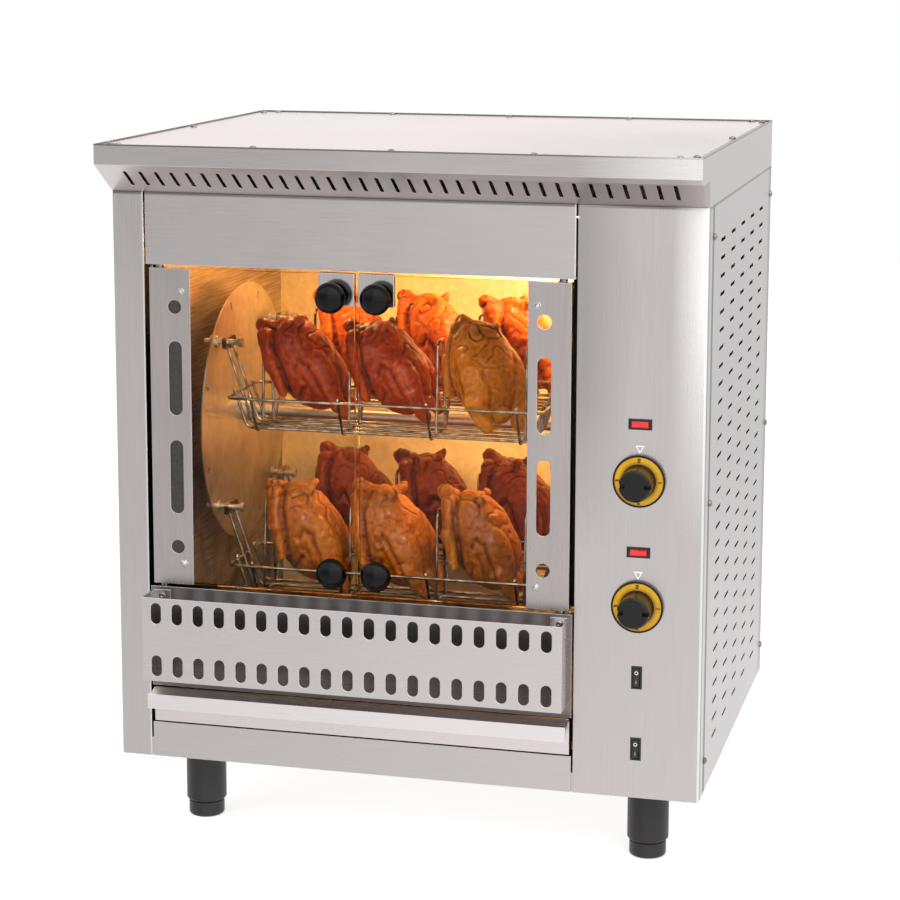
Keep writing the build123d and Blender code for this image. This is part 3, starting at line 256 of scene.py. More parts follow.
front_steel = sheet_steel("front_steel", across)
dress(front_steel, "rear_panel", "base_pan")
hood_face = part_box("hood")[0].y
hood_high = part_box("hood")[1].z
hood_seam = ("Z", hood_high - 0.0018, 1.0, 0.0004)
# On the hood: painted shadow along the top seam, painted shade on the right end of the sloping face, and a
# painted highlight near the right front corner.
slope_right = ("X", 0.30, 1.0, 0.30)
slope_depth = ("Y", hood_face + 0.003, sheet_back, 0.002)
slope_height = ("Z", hood_low + 0.001, hood_high - 0.034, 0.001)
hood_glare = (0.5, ("X", side_x - 0.012, side_x, 0.14), ("Y", -1.0, hood_face + 0.001, 0.0005))
hood_steel = sheet_steel("hood_steel", across, "D6D0CF", "CEC8C7", marks=[
    (seam_shade, 0.75, hood_seam),
    ("8E8886", 0.55, slope_right, slope_depth, slope_height)], painted_glare=hood_glare)
dress(hood_steel, "hood")
fascia_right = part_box("fascia")[1].x
fascia_edge = ("X", fascia_right - 0.0016, fascia_right, 0.0004)
# Fascia, kick panel, rail plate, post and control panel are painted near black as shade where they lie behind
# the front.
fascia_steel = sheet_steel("fascia_steel", across, marks=[
    (gap_shade, 1.0, behind), under_hood, (edge_shine, 0.7, fascia_edge)])
dress(fascia_steel, "fascia")
kick_steel = sheet_steel("kick_steel", across, marks=[(gap_shade, 1.0, behind)])
dress(kick_steel, "kick_panel")
# The rail plate lies in the guard's shade, so its sheet is painted darker, and near black as shade behind the
# front.
shaded_rail_steel = sheet_steel("shaded_rail_steel", across, "979190", "8A8483", 0.34, [(gap_shade, 1.0, behind)])
dress(shaded_rail_steel, "rail_plate")
post_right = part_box("left_post")[1].x
side_wrap = 0.0045
post_inside = ("X", side_wrap - side_x, 0.0, 0.0004)
post_edge = ("X", post_right - 0.0018, post_right, 0.0004)
post_face = ("Y", -1.0, sheet_back, 0.0004)
post_steel = sheet_steel("post_steel", upright, marks=[
    (gap_shade, 1.0, behind, post_inside), under_hood, (edge_shine, 0.7, post_edge, post_face)])
dress(post_steel, "left_post")
# On the control panel: painted shade behind the corner's fold and on the upper left of the face, painted
# shadow in the side joint, a painted highlight along the corner and a painted glare at the upper right.
panel_inside = ("X", 0.0, side_x - side_wrap, 0.0004)
corner = ("X", side_x - 0.0010, side_x, 0.0004)
corner_fold, corner_joint = ("Y", -0.2660, -0.2600, 0.002), ("Y", -0.2385, -0.2300, 0.002)
panel_left, panel_upper = ("X", 0.0, 0.235, 0.060), ("Z", 0.62, 1.0, 0.20)
corner_edge, corner_front = ("X", side_x - 0.0022, side_x, 0.0005), ("Y", -1.0, -0.2685, 0.0008)
panel_glare = (0.85, ("X", side_x - 0.002, side_x, 0.042), ("Z", 0.74, 1.0, 0.30),
               ("Y", -1.0, -0.2690, 0.0005))
panel_steel = sheet_steel("panel_steel", upright, marks=[
    (gap_shade, 1.0, behind, panel_inside), under_hood, ("8E8989", 0.8, corner, corner_fold),
    (joint_shade, 0.9, corner, corner_joint), ("B4AEAD", 0.8, panel_left, panel_upper),
    (edge_shine, 0.9, corner_edge, corner_front)], painted_glare=panel_glare)
dress(panel_steel, "control_panel")
side_joint, side_rear = ("Y", -0.2400, -0.2265, 0.003), ("Y", 0.3270, 1.0, 0.034)
side_steel = sheet_steel("side_steel", upright, "D6D0D1", "CFC9CA", 0.32, [
    (joint_shade, 0.9, side_joint), ("8A8585", 0.85, side_rear), under_hood])
dress(side_steel, "left_side_panel", "right_side_panel")
top_low, top_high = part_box("top_panel")
top_right, top_front = ("X", 0.30, 1.0, 0.30), ("Y", -1.0, -0.05, 0.30)
front_seam = ("Y", top_low.y, top_low.y + 0.0120, 0.0015)
right_seam = ("X", top_high.x - 0.0060, top_high.x, 0.0010)
# The top is painted paler than the other sheets as lit from above, with painted shade towards its right front
# and painted shadow in the seams along its front and right edges.
lit_top_steel = sheet_steel("lit_top_steel", inward, "E8DADA", "DFD1D1", 0.27, [
    ("CABEBE", 0.85, top_right, top_front), (seam_shade, 0.9, front_seam), (seam_shade, 0.85, right_seam)])
dress(lit_top_steel, "top_panel")


# Cabinet screws
# Pan-head screws of plated steel hold the sheets together. Each head has a rounded crown and a
# recess, and sits where the frame has its screw.

same_point = 1e-6


def islands(mesh):
    """The separate lumps of a mesh, each as a list of its corner points."""
    points = bmesh.new()
    points.from_mesh(mesh)
    bmesh.ops.remove_doubles(points, verts=points.verts, dist=same_point)
    left = dict.fromkeys(points.verts)
    while left:
        first = next(iter(left))
        del left[first]
        lump, edge = [], [first]
        while edge:
            vert = edge.pop()
            lump.append(vert.co.copy())
            for link in vert.link_edges:
                other = link.other_vert(vert)
                if other in left:
                    del left[other]
                    edge.append(other)
        yield lump
    points.free()


def new_piece(name, body, finishes, build, smooth=True):
    """A new piece built by a function that fills a bmesh, riding on a body."""
    shape = bmesh.new()
    build(shape)
    mesh = bpy.data.meshes.new(name)
    shape.to_mesh(mesh)
    shape.free()
    for finish in finishes:
        mesh.materials.append(finish.material)
    for face in mesh.polygons:
        face.use_smooth = smooth
    piece = bpy.data.objects.new(name, mesh)
    bpy.context.collection.objects.link(piece)
    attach(piece, body)
    return piece


def lathe(shape, profile, matrix, sides=28):
    """Turns a profile of (radius, height) points round the local Z axis."""
    turn = [2 * math.pi * k / sides for k in range(sides)]
    rings = []
    for radius, height in profile:
        circle = [Vector((radius * math.cos(a), radius * math.sin(a), height)) for a in turn]
        if radius == 0:
            circle = [Vector((0, 0, height))]
        rings.append([shape.verts.new(matrix @ point) for point in circle])
    for low, high in zip(rings, rings[1:]):
        for k in range(sides):
            corners = [low[k % len(low)], low[(k + 1) % len(low)],
                       high[(k + 1) % len(high)], high[k % len(high)]]
            shape.faces.new(list(dict.fromkeys(corners)))


head_height, head_sides, shank_sides = 0.0030, 24, 20
head_shares = [(1.0, 0.0), (1.0, 0.45), (0.88, 0.78), (0.6, 0.96), (0.34, 1.0), (0.22, 0.4), (0.0, 0.35)]


def screw_head(shape, matrix, radius, height):
    """A pan head with a round recess, standing on the local XY plane."""
    lathe(shape, [(radius * out, height * up) for out, up in head_shares], matrix, head_sides)


screw_steel = Finish("screw_steel", "CFCAC6", 0.22, metallic=1.0)
screw_wear = screw_steel.cloud(260.0)
screw_steel.wire("Base Color", screw_steel.tint(screw_wear, (0.35, "6E6A68"), (0.65, "B4B0AE")))
screw_steel.wire("Roughness", screw_steel.spread(screw_wear, 0.14, 0.34))
dress(screw_steel, "cabinet_screws", "door_pins")


def span_of(lump):
    """Lowest and highest corner of a lump's points."""
    return [Vector([pick(p[i] for p in lump) for i in range(3)]) for pick in (min, max)]


def screws_like(lumps):
    """Fills a shape with one screw for each lump, along the lump's longest way, head to the same side."""
    def fill(shape):
        for lump in lumps:
            low, high = span_of(lump)
            middle, size = (low + high) / 2, high - low
            way = max(range(3), key=lambda i: size[i])
            wide = max(lump, key=lambda p: (p - middle).length - abs((p - middle)[way]))
            out = Vector([0, 0, 0])
            out[way] = 1.0 if wide[way] > middle[way] else -1.0
            tip = high[way] if out[way] > 0 else low[way]
            radius = min(size[i] for i in range(3) if i != way) / 2
            seat = middle.copy()
            seat[way] = tip - out[way] * head_height
            turn = Matrix.Translation(seat) @ out.to_track_quat("Z", "Y").to_matrix().to_4x4()
            shank = size[way] - head_height
            lathe(shape, [(0, -shank), (radius * 0.4, -shank), (radius * 0.44, -radius * 0.1), (radius, 0)],
                  turn, shank_sides)
            screw_head(shape, turn, radius, head_height)
            bmesh.ops.remove_doubles(shape, verts=shape.verts, dist=same_point)

    return fill


screw_lumps = list(islands(nodes["cabinet_screws"].data))
screws = new_piece("cabinet_pan_heads", "cabinet", [screw_steel], screws_like(screw_lumps))
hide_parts("cabinet_screws")


# Base fittings and works
# Behind the control panel and under the base sit the works: gearmotor, rotary switches, terminal block
# and cable gland. They are cast, moulded and plated parts, screwed to the sheets.

inner_plastic = moulded_plastic("inner_plastic", "2B2A2C", "3A383A", 0.5, "5C5A5A")
dress(inner_plastic, "rotary_switches", "cable_gland", "terminal_block")
motor_casting = Finish("motor_casting", "8C8F92", 0.5, metallic=0.6)
casting_skin = motor_casting.cloud(340.0)
motor_casting.wire("Base Color", motor_casting.tint(casting_skin, (0.3, "74777A"), (0.7, "9EA1A3")))
motor_casting.wire("Roughness", motor_casting.spread(casting_skin, 0.4, 0.62))
motor_casting.emboss(casting_skin, 0.25, 0.0005)
dress(motor_casting, "gearmotor")
bush_brass = Finish("bush_brass", "B08D4A", 0.32, metallic=1.0)
turning = bush_brass.cloud(1.0, (30.0, 700.0, 700.0))
bush_brass.wire("Base Color", bush_brass.tint(turning, (0.3, "9A783A"), (0.7, "C6A462")))
bush_brass.wire("Roughness", bush_brass.spread(turning, 0.24, 0.42))
dress(bush_brass, "axle_bushes")


# Oven liner
# The oven is lined with bright steel sheet on both sides and above, browned by roasting, and has a
# pale refractory board across the back. The sheets hook into the cabinet's flanges.

def browned_steel(name, pale, stain, roughness, grain, amount, marks=()):
    """Bright steel with a film of baked fat, thicker towards the oven's floor, and marks of another colour,
    such as a painted shadow.
    """
    blot_scale, run_stretch = 14.0, (60.0, 60.0, 6.0)
    film_floor, film_top, top_share = 0.2, 0.75, 0.15
    film_rough, fold_radius, grain_strength, grain_depth = 0.25, 0.001, 0.05, 0.0004
    steel = Finish(name, pale, roughness, metallic=1.0)
    streaks = steel.cloud(1.0, grain, detail=3.0)
    blots = steel.cloud(blot_scale, detail=5.0, warp=0.8)
    runs = steel.cloud(1.0, run_stretch, detail=3.0)
    low = steel.spread(steel.along("Z"), 1.0, top_share, film_floor, film_top)
    film = steel.sum(steel.spread(blots, 0.0, 1.0, 0.38, 0.68), steel.spread(runs, 0.3, 1.0))
    film = steel.sum(steel.sum(film, low, "MULTIPLY"), amount, "MULTIPLY")
    shade = steel.tint(streaks, (0.3, pale), (0.7, "F0E8DC"))
    colour = steel.mix(film, shade, stain)
    for code, strength, *bands in marks:
        colour = steel.mark(colour, code, strength, *bands)
    steel.wire("Base Color", colour)
    steel.wire("Roughness", steel.spread(film, roughness, roughness + film_rough))
    steel.wire("Metallic", steel.spread(film, 1.0, 0.5))
    steel.soften(fold_radius)
    steel.emboss(streaks, grain_strength, grain_depth)
    return steel


liner_grain, liner_film = (500.0, 12.0, 500.0), 0.6
liner_steel = browned_steel("liner_steel", "D0B892", "6B4420", 0.3, liner_grain, liner_film)
dress(liner_steel, "liner_right_wall", "liner_ceiling", "tray_runners")
# The left wall is painted as a darker copy of the liner steel for shade, with a near-black painted shadow of
# the disc over its front part.
shadow_front, shadow_height = ("Y", -1.0, -0.150, 0.035), ("Z", 0.1, 0.655, 0.050)
shaded_liner_steel = browned_steel("shaded_liner_steel", "B4975F", "5E3A18", 0.3, liner_grain, liner_film, [
    ("150B05", 0.92, shadow_front, shadow_height)])
dress(shaded_liner_steel, "liner_left_wall")
refractory = Finish("refractory", "D8CDBB", 0.85)
board = refractory.cloud(130.0, detail=5.0)
scorch = refractory.cloud(9.0, detail=5.0, warp=0.9)
board_tone = refractory.tint(board, (0.3, "E6CE96"), (0.7, "F4E2B4"))
scorched = refractory.spread(scorch, 0.0, 0.4, 0.5, 0.8)
refractory.wire("Base Color", refractory.mix(scorched, board_tone, "A67C48"))
refractory.emboss(board, 0.4, 0.0012)
dress(refractory, "liner_back")

seal_rope = Finish("seal_rope", "1B1815", 0.9)
braid = seal_rope.cloud(420.0, detail=3.0)
seal_rope.wire("Base Color", seal_rope.tint(braid, (0.3, "0F0D0B"), (0.7, "2A2521")))
seal_rope.emboss(braid, 0.5, 0.0008)
rope_radius, rope_rib, rope_depth = 0.0038, 0.0004, -0.2463
rope_low, rope_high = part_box("left_door_stile")[0].z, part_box("liner_ceiling")[0].z - 0.002
rope_turns, rope_sides, rope_end = 90, 12, rope_radius * 0.7


def seal_ropes(shape):
    """A braided rope up each side of the oven mouth."""
    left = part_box("liner_left_wall")[1].x + rope_radius + 2 * rope_rib
    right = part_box("liner_right_wall")[0].x - rope_radius - 2 * rope_rib
    for x in (left, right):
        profile = [(0, rope_low), (rope_end, rope_low)]
        for k in range(2 * rope_turns + 1):
            height = rope_low + (rope_high - rope_low) * (k + 0.5) / (2 * rope_turns + 2)
            profile.append((rope_radius + (rope_rib if k % 2 else -rope_rib), height))
        profile += [(rope_end, rope_high), (0, rope_high)]
        lathe(shape, profile, Matrix.Translation((x, rope_depth, 0)), rope_sides)


new_piece("door_seal_ropes", "cabinet", [seal_rope], seal_ropes)


# Heating elements and oven lamps
# Two hairpin elements with a dark oxidised sheath hang under the oven's ceiling, and two lamps in
# ceramic holders light the oven through clear glass cups.

element_sheath = Finish("element_sheath", "4A4038", 0.5, metallic=0.8)
oxide = element_sheath.cloud(120.0, detail=4.0)
element_sheath.wire("Base Color", element_sheath.tint(
    oxide, (0.3, "3A302A"), (0.55, "5A4A3E"), (0.75, "7A5C44")))
element_sheath.wire("Roughness", element_sheath.spread(oxide, 0.38, 0.65))
element_sheath.emboss(oxide, 0.2, 0.0004)
dress(element_sheath, "heating_elements")
lamp_ceramic = Finish("lamp_ceramic", "E6E0D4", 0.3)
glaze = lamp_ceramic.cloud(60.0)
lamp_ceramic.wire("Base Color", lamp_ceramic.tint(glaze, (0.3, "D8D0C0"), (0.7, "EEE9DE")))
dress(lamp_ceramic, "oven_lamps")
lamp_glass = Finish("lamp_glass", "FFF4DC", 0.05, Transmission_Weight=1.0, IOR=1.47)
lamp_film = lamp_glass.cloud(90.0)
lamp_glass.wire("Roughness", lamp_glass.spread(lamp_film, 0.04, 0.16))
dress(lamp_glass, "oven_lamp_glasses")


# Rotor
# A round steel axle carries a disc at each end, held by collars. Four pins through each pair of discs
# carry the baskets. Axle and discs are turned and stamped steel, gilded by baked fat.

rotor_steel = browned_steel("rotor_steel", "E2D4B8", "7A4E1E", 0.26, (400.0, 60.0, 60.0), 0.5)
dress(rotor_steel, "axle", "left_disc", "right_disc", "disc_collars", "hanger_pins")


# Baskets
# Four baskets of welded bright steel wire hang from the pins, so they stay level as the rotor turns.
# A bead of weld shows where the outer floor wires and the cross wires meet the rails.

basket_wire = Finish("basket_wire", "DCD6CC", 0.2, metallic=1.0)
wire_film = basket_wire.cloud(70.0, detail=4.0)
basket_wire.wire("Base Color", basket_wire.tint(
    wire_film, (0.3, "7E6A4C"), (0.5, "B9AD98"), (0.75, "F0ECE4")))
basket_wire.wire("Roughness", basket_wire.spread(wire_film, 0.3, 0.12))
basket_names = ("front_top", "rear_top", "front_bottom", "rear_bottom")
dress(basket_wire, *["basket_" + place for place in basket_names])
disc_low, disc_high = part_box("left_disc")
axle_y, axle_z = (disc_low.y + disc_high.y) / 2, (disc_low.z + disc_high.z) / 2
basket_middle_x, pin_circle = -0.060, 0.162
pivot_reach = pin_circle * math.sqrt(0.5)
weld_radius, weld_turns, weld_sides = 0.0032, 8, 14
hanger_x, hanger_y, hanger_z = 0.2128, 0.036, -0.060
cross_x, rail_y, rail_z = (-0.1815, -0.0605, 0.0605, 0.1815), 0.0652, -0.0608
weld_spots = [(x, y, hanger_z) for x in (-hanger_x, hanger_x) for y in (-hanger_y, hanger_y)]
weld_spots += [(x, y, rail_z) for x in cross_x for y in (-rail_y, rail_y)]


def basket_pivot(place):
    """Middle of the line that a basket swings on."""
    depth = -pivot_reach if place.startswith("front") else pivot_reach
    height = pivot_reach if place.endswith("top") else -pivot_reach
    return Vector((basket_middle_x, axle_y + depth, axle_z + height))


for place in basket_names:
    def beads(shape):
        angles = [math.pi * k / weld_turns for k in range(1, weld_turns)]
        ball = [(weld_radius * math.sin(a), -weld_radius * math.cos(a)) for a in angles]
        bead = [(0, -weld_radius * 0.94), *ball, (0, weld_radius * 1.05)]
        for spot in weld_spots:
            lathe(shape, bead, Matrix.Translation(basket_pivot(place) + Vector(spot)), weld_sides)

    new_piece("basket_welds_" + place, "basket_" + place, [basket_wire], beads)


# Chickens
# Each basket holds three roast chickens sitting upright, breast out, with the neck end leaning to the
# left over the divider. The skin is browned, glossy with fat and drawn tight over breast, wings and legs.

def roast_skin(name, crease, mid, bright, char):
    """Roast skin: even browning, with painted shade in the folds and painted shine on the ridges, and a coat
    of fat.
    """
    mottle_scale, fine_scale, pore_scale, wrinkle_stretch = 20.0, 170.0, 620.0, (210.0, 210.0, 80.0)
    mottle_share, fine_share, hollow_shade, ridge_shine = 0.4, 0.4, -0.42, 0.30
    skin = Finish(name, mid, 0.4, Specular_IOR_Level=0.16, Coat_Weight=0.35, Coat_Roughness=0.14,
                  Coat_IOR=1.45)
    mottle = skin.cloud(mottle_scale, detail=5.0, warp=0.6)
    fine = skin.cloud(fine_scale, detail=5.0, warp=0.6)
    pores = skin.cloud(pore_scale, detail=2.0)
    wrinkles = skin.cloud(1.0, wrinkle_stretch, detail=4.0, warp=1.6)
    pointy = skin.add("ShaderNodeNewGeometry").outputs["Pointiness"]
    browning_and_shade = skin.add("ShaderNodeAttribute", attribute_name="browning_and_shade").outputs["Fac"]
    tone = skin.sum(skin.sum(mottle, mottle_share, "MULTIPLY"), skin.sum(fine, fine_share, "MULTIPLY"))
    tone = skin.sum(tone, skin.spread(pointy, hollow_shade, ridge_shine, 0.43, 0.57))
    colour = skin.tint(tone, (0.05, crease), (0.36, mid), (0.68, bright))
    skin.wire("Base Color", skin.mix(browning_and_shade, colour, char))
    skin.wire("Roughness", skin.spread(mottle, 0.28, 0.48, 0.3, 0.7))
    skin.emboss(wrinkles, 0.5, 0.0026)
    skin.emboss(fine, 0.35, 0.0016)
    skin.emboss(pores, 0.2, 0.0006)
    return skin


dark_roast = roast_skin("dark_roast", "520E00", "A83202", "CE5206", "3C0A00")
ochre_roast = roast_skin("ochre_roast", "743600", "CA700A", "EA981C", "582600")
# The rear top birds' skin is their roast colour made paler and yellower as painted glare from the lamp above
# them.
lamp_glare_roast = roast_skin("lamp_glare_roast", "641800", "C65606", "F08A1C", "501200")
golden_roast = roast_skin("golden_roast", "6A2800", "B85C04", "DE8A1A", "5C2000")
red_roast = roast_skin("red_roast", "4A0E00", "8A3004", "AE4C0A", "340A00")


def bird_limb(shape, start, end, thick, thin, rings=12, sides=18):
    """A tapered limb with round ends, from start to end."""
    start, end = Vector(start), Vector(end)
    along = end - start
    turn = along.to_track_quat("Z", "Y").to_matrix().to_4x4()
    length = along.length
    profile = [(0, -thick)]
    for k in range(1, rings):
        angle = math.pi * k / (2 * rings)
        profile.append((thick * math.sin(angle), -thick * math.cos(angle)))
    for k in range(rings + 1):
        share = k / rings
        profile.append((thick + (thin - thick) * share, length * share))
    for k in range(1, rings):
        angle = math.pi * k / (2 * rings)
        profile.append((thin * math.cos(angle), length + thin * math.sin(angle)))
    profile.append((0, length + thin))
    lathe(shape, profile, Matrix.Translation(start) @ turn, sides)


def bird_lump(shape, middle, reach, lean):
    """A swelling: a ball stretched to its reach and leaned about the Y axis."""
    lump = bmesh.ops.create_uvsphere(shape, u_segments=28, v_segments=20, radius=1.0)["verts"]
    matrix = Matrix.Translation(middle) @ Matrix.Rotation(lean, 4, "Y") @ Matrix.Diagonal((*reach, 1.0))
    bmesh.ops.transform(shape, matrix=matrix, verts=lump)


# Swellings have a middle, a reach and a lean; limbs have a start, an end and the radius at each.
body_lumps = [
    ((-0.002, 0.0, -0.026), (0.045, 0.046, 0.072), -0.42),
    ((0.010, 0.0, -0.036), (0.037, 0.044, 0.056), -0.12),
    ((-0.018, 0.0, 0.008), (0.032, 0.036, 0.034), -0.30),
]
neck_root, neck_end, neck_thick, neck_thin = (-0.026, 0.0, 0.014), (-0.055, 0.0, 0.038), 0.022, 0.0110
thigh, thigh_reach, thigh_lean = (0.018, 0.029, -0.034), (0.025, 0.021, 0.045), -0.46
side_limbs = [
    ((0.030, 0.034, -0.060), (0.046, 0.027, -0.095), 0.0165, 0.0085),
    ((-0.047, 0.017, 0.026), (-0.041, 0.031, -0.014), 0.0115, 0.0120),
    ((-0.041, 0.032, -0.014), (-0.033, 0.035, -0.054), 0.0120, 0.0076),
    ((-0.012, 0.014, 0.020), (0.001, 0.018, 0.038), 0.0130, 0.0066),
]
tail, tail_reach = (0.036, 0.0, -0.078), (0.016, 0.015, 0.014)
limb_room, fold_room, away_room = 0.0022, 0.002, 50
skin_voxel, taut_factor, taut_rounds = 0.0018, 0.6, 5
swell_scale, swell_height = 22, 0.0016
crimp_scale, crimp_depth = 120, 0.0009
pucker_scale, pucker_depth, back_pucker_depth = 52, 0.0006, 0.0016
burn_scale, fleck_scale, most_darkening = 15, 48, 0.85
roll_height, roll_place, roll_width = 0.0014, 2.2, 1.4
flank_start, flank_fade = 0.008, 0.012
back_slope, back_start, back_fade = 0.4, 0.004, 0.030
char_z, char_x, char_fade = 0.016, -0.030, 0.030
lean_point = Vector((0.0, 0.0, -0.050))
fold_width, fold_depth = 0.0038, 0.0021
skin_folds = [
    [(-0.030, 0.036), (-0.036, 0.012), (-0.029, -0.024), (-0.023, -0.066)],
    [(-0.010, -0.024), (-0.002, -0.016), (0.008, -0.022), (0.017, -0.046), (0.030, -0.084)],
    [(-0.016, -0.070), (-0.006, -0.052)],
]


def bird(seed, yaw, size, lean):
    """The skin of one bird, its middle at the basket's swing line, with its browning and painted fold shade
    at each point.
    """
    draw = random.Random(seed)

    def near(spot, side=1):
        x, y, z = spot
        return [p + draw.uniform(-limb_room, limb_room) for p in (x, side * y, z)]

    shape = bmesh.new()
    for middle, reach, lump_lean in body_lumps:
        bird_lump(shape, near(middle), reach, lump_lean)
    bird_limb(shape, neck_root, near(neck_end), neck_thick, neck_thin)
    for side in (-1, 1):
        bird_lump(shape, near(thigh, side), thigh_reach, thigh_lean)
        for start, end, thick, thin in side_limbs:
            bird_limb(shape, near(start, side), near(end, side), thick, thin)
    bird_lump(shape, tail, tail_reach, 0.0)
    mesh = bpy.data.meshes.new("bird")
    shape.to_mesh(mesh)
    shape.free()
    form = bpy.data.objects.new("bird_form", mesh)
    bpy.context.collection.objects.link(form)
    shrink = form.modifiers.new("skin", "REMESH")
    shrink.mode, shrink.voxel_size = "VOXEL", skin_voxel
    taut = form.modifiers.new("taut", "SMOOTH")
    taut.factor, taut.iterations = taut_factor, taut_rounds
    skin = bpy.data.meshes.new_from_object(form.evaluated_get(bpy.context.evaluated_depsgraph_get()))
    bpy.data.objects.remove(form)
    away = Vector([draw.uniform(-away_room, away_room) for _ in range(3)])
    spots = numpy.array([(v.co.x, v.co.z) for v in skin.vertices])
    away_from_fold = numpy.full(len(spots), 1.0)
    for fold in skin_folds:
        shift = [[draw.uniform(-fold_room, fold_room) for _ in (0, 1)] for _ in fold]
        line = numpy.array(fold) + numpy.array(shift)
        for start, end in zip(line, line[1:]):
            run = end - start
            share = numpy.clip((spots - start) @ run / (run @ run), 0.0, 1.0)
            gap = spots - start - numpy.outer(share, run)
            away_from_fold = numpy.minimum(away_from_fold, numpy.hypot(gap[:, 0], gap[:, 1]))
    browning_and_shade = []
    moved = []
    for vert, gap in zip(skin.vertices, away_from_fold):
        point = vert.co
        flank = min(1.0, max(0.0, (abs(point.y) - flank_start) / flank_fade))
        fold = flank * math.exp(-(gap / fold_width) ** 2)
        roll = flank * math.exp(-((gap - roll_place * fold_width) / (roll_width * fold_width)) ** 2)
        back = min(1.0, max(0.0, (point.z + back_slope * point.x + back_start) / back_fade))
        swell = noise.noise(point * swell_scale + away)
        pucker = 1 - min(1.0, 5 * abs(noise.noise(point * pucker_scale + away * 3)))
        crimp = noise.turbulence(point * crimp_scale + away, 3, False)
        lift = swell_height * swell - crimp_depth * crimp - (pucker_depth + back_pucker_depth * back) * pucker
        moved.append(point + vert.normal * (lift - fold_depth * fold + roll_height * roll))
        burn = noise.noise(point * burn_scale + away * 2) + 0.4 * noise.noise(point * fleck_scale + away)
        high = max(0.0, (point.z - char_z) / char_fade)
        tip = max(0.0, (char_x - point.x) / char_fade)
        # Browning from roasting, char on top and at the wing tips, plus painted shade in the skin's folds.
        brown_and_shade = 0.5 * burn - 0.12 + 0.25 * high + 0.18 * tip + 0.24 * fold + 0.12 * pucker
        browning_and_shade.append(min(most_darkening, max(0.0, brown_and_shade)))
    place = Matrix.Rotation(yaw, 4, "Z") @ Matrix.Scale(size, 4) @ Matrix.Translation(lean_point)
    place = place @ Matrix.Rotation(lean, 4, "Y") @ Matrix.Translation(-lean_point)
    return [place @ p for p in moved], [list(f.vertices) for f in skin.polygons], browning_and_shade


# Each bird has its seed, turn, size, lean and finish.
bird_pitch, bird_shift = 0.121, 0.0032
loads = {
    "front_top": ((11, 0.10, 0.97, -0.16, dark_roast), (12, -0.06, 0.97, -0.16, dark_roast),
                  (13, -0.75, 0.97, 0.0, ochre_roast)),
    "rear_top": ((21, 0.20, 0.98, 0.0, lamp_glare_roast), (22, -0.12, 1.0, 0.0, lamp_glare_roast),
                 (23, 0.30, 0.98, 0.0, lamp_glare_roast)),
    "front_bottom": ((31, 0.12, 1.0, 0.0, golden_roast), (32, -0.10, 1.0, 0.0, golden_roast),
                     (33, 0.05, 0.98, 0.0, golden_roast)),
    "rear_bottom": ((41, -0.2, 0.98, 0.0, red_roast), (42, 0.14, 1.0, 0.0, red_roast),
                    (43, -0.3, 0.98, 0.0, red_roast)),
}
for place, birds in loads.items():
    def fill(shape):
        layer = shape.verts.layers.float.new("browning_and_shade")
        for k, (seed, yaw, size, lean, finish) in enumerate(birds):
            seat = basket_pivot(place) + Vector(((k - 1) * bird_pitch + bird_shift, 0, 0))
            points, faces, browning_and_shade = bird(seed, yaw, size, lean)
            verts = [shape.verts.new(seat + p) for p in points]
            for vert, burn in zip(verts, browning_and_shade):
                vert[layer] = burn
            for face in faces:
                shape.faces.new([verts[i] for i in face]).material_index = k

    flock = new_piece("roast_" + place, "basket_" + place, [b[4] for b in birds], fill)
    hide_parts("chickens_" + place)


# Guard and drip tray
# A perforated trough of brushed steel hangs below the doors on two tabs, and the drip tray slides in
# under it. Both are folded sheet, painted paler as lit low at the front; the tray's pan is brown with baked
# drippings.

lit_guard_steel = sheet_steel("lit_guard_steel", across, "E4DCDB", "DAD3D2", 0.28)
dress(lit_guard_steel, "guard")
# The tray's pan is brown with drippings, and painted near black as shade just behind the front.
lit_tray_steel = sheet_steel("lit_tray_steel", across, "F2E9E8", "E8DFDE", 0.28, [
    ("2E1E12", 1.0, behind), (gap_shade, 0.9, ("Y", sheet_back, -0.2, 0.0006))])
dress(lit_tray_steel, "drip_tray")
tray_low, tray_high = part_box("drip_tray")
lip_top, lip_bottom, lip_thick, lip_turns = tray_high.z - 0.0025, tray_high.z - 0.0225, 0.0016, 6
lip_stand = 0.0002


def prism(shape, ends):
    """Joins two like outlines into a closed solid."""
    for k in range(len(ends[0])):
        follow = (k + 1) % len(ends[0])
        shape.faces.new((ends[0][k], ends[0][follow], ends[1][follow], ends[1][k]))
    shape.faces.new(ends[0])
    shape.faces.new(ends[1][::-1])
    bmesh.ops.recalc_face_normals(shape, faces=shape.faces)


def pull_lip(shape):
    """The rolled strip along the front edge of the tray's pull."""
    front, round_over = tray_low.y - lip_stand, lip_thick / 2
    outline = []
    for middle, start in ((lip_top - round_over, 0.0), (lip_bottom + round_over, math.pi)):
        for k in range(lip_turns + 1):
            angle = start + math.pi * k / lip_turns
            depth = front + round_over * (1 - math.cos(angle)) - lip_thick
            outline.append((depth, middle + round_over * math.sin(angle)))
    prism(shape, [[shape.verts.new((x, y, z)) for y, z in outline] for x in (tray_low.x, tray_high.x)])


# The lip is painted near white as a painted highlight on the tray's pull.
lit_lip_steel = sheet_steel("lit_lip_steel", across, "FFF8F8", "F6EEEE", 0.3)
new_piece("drip_tray_lip", "drip_tray", [lit_lip_steel], pull_lip, smooth=False)


# Doors
# Two glass doors hinge on pins at their outer sides. Each has a slotted steel stile bolted to the
# glass, a polished clip at its top and two turned black knobs near the meeting edge.

stile_front, stile_back = -0.2718, -0.2701
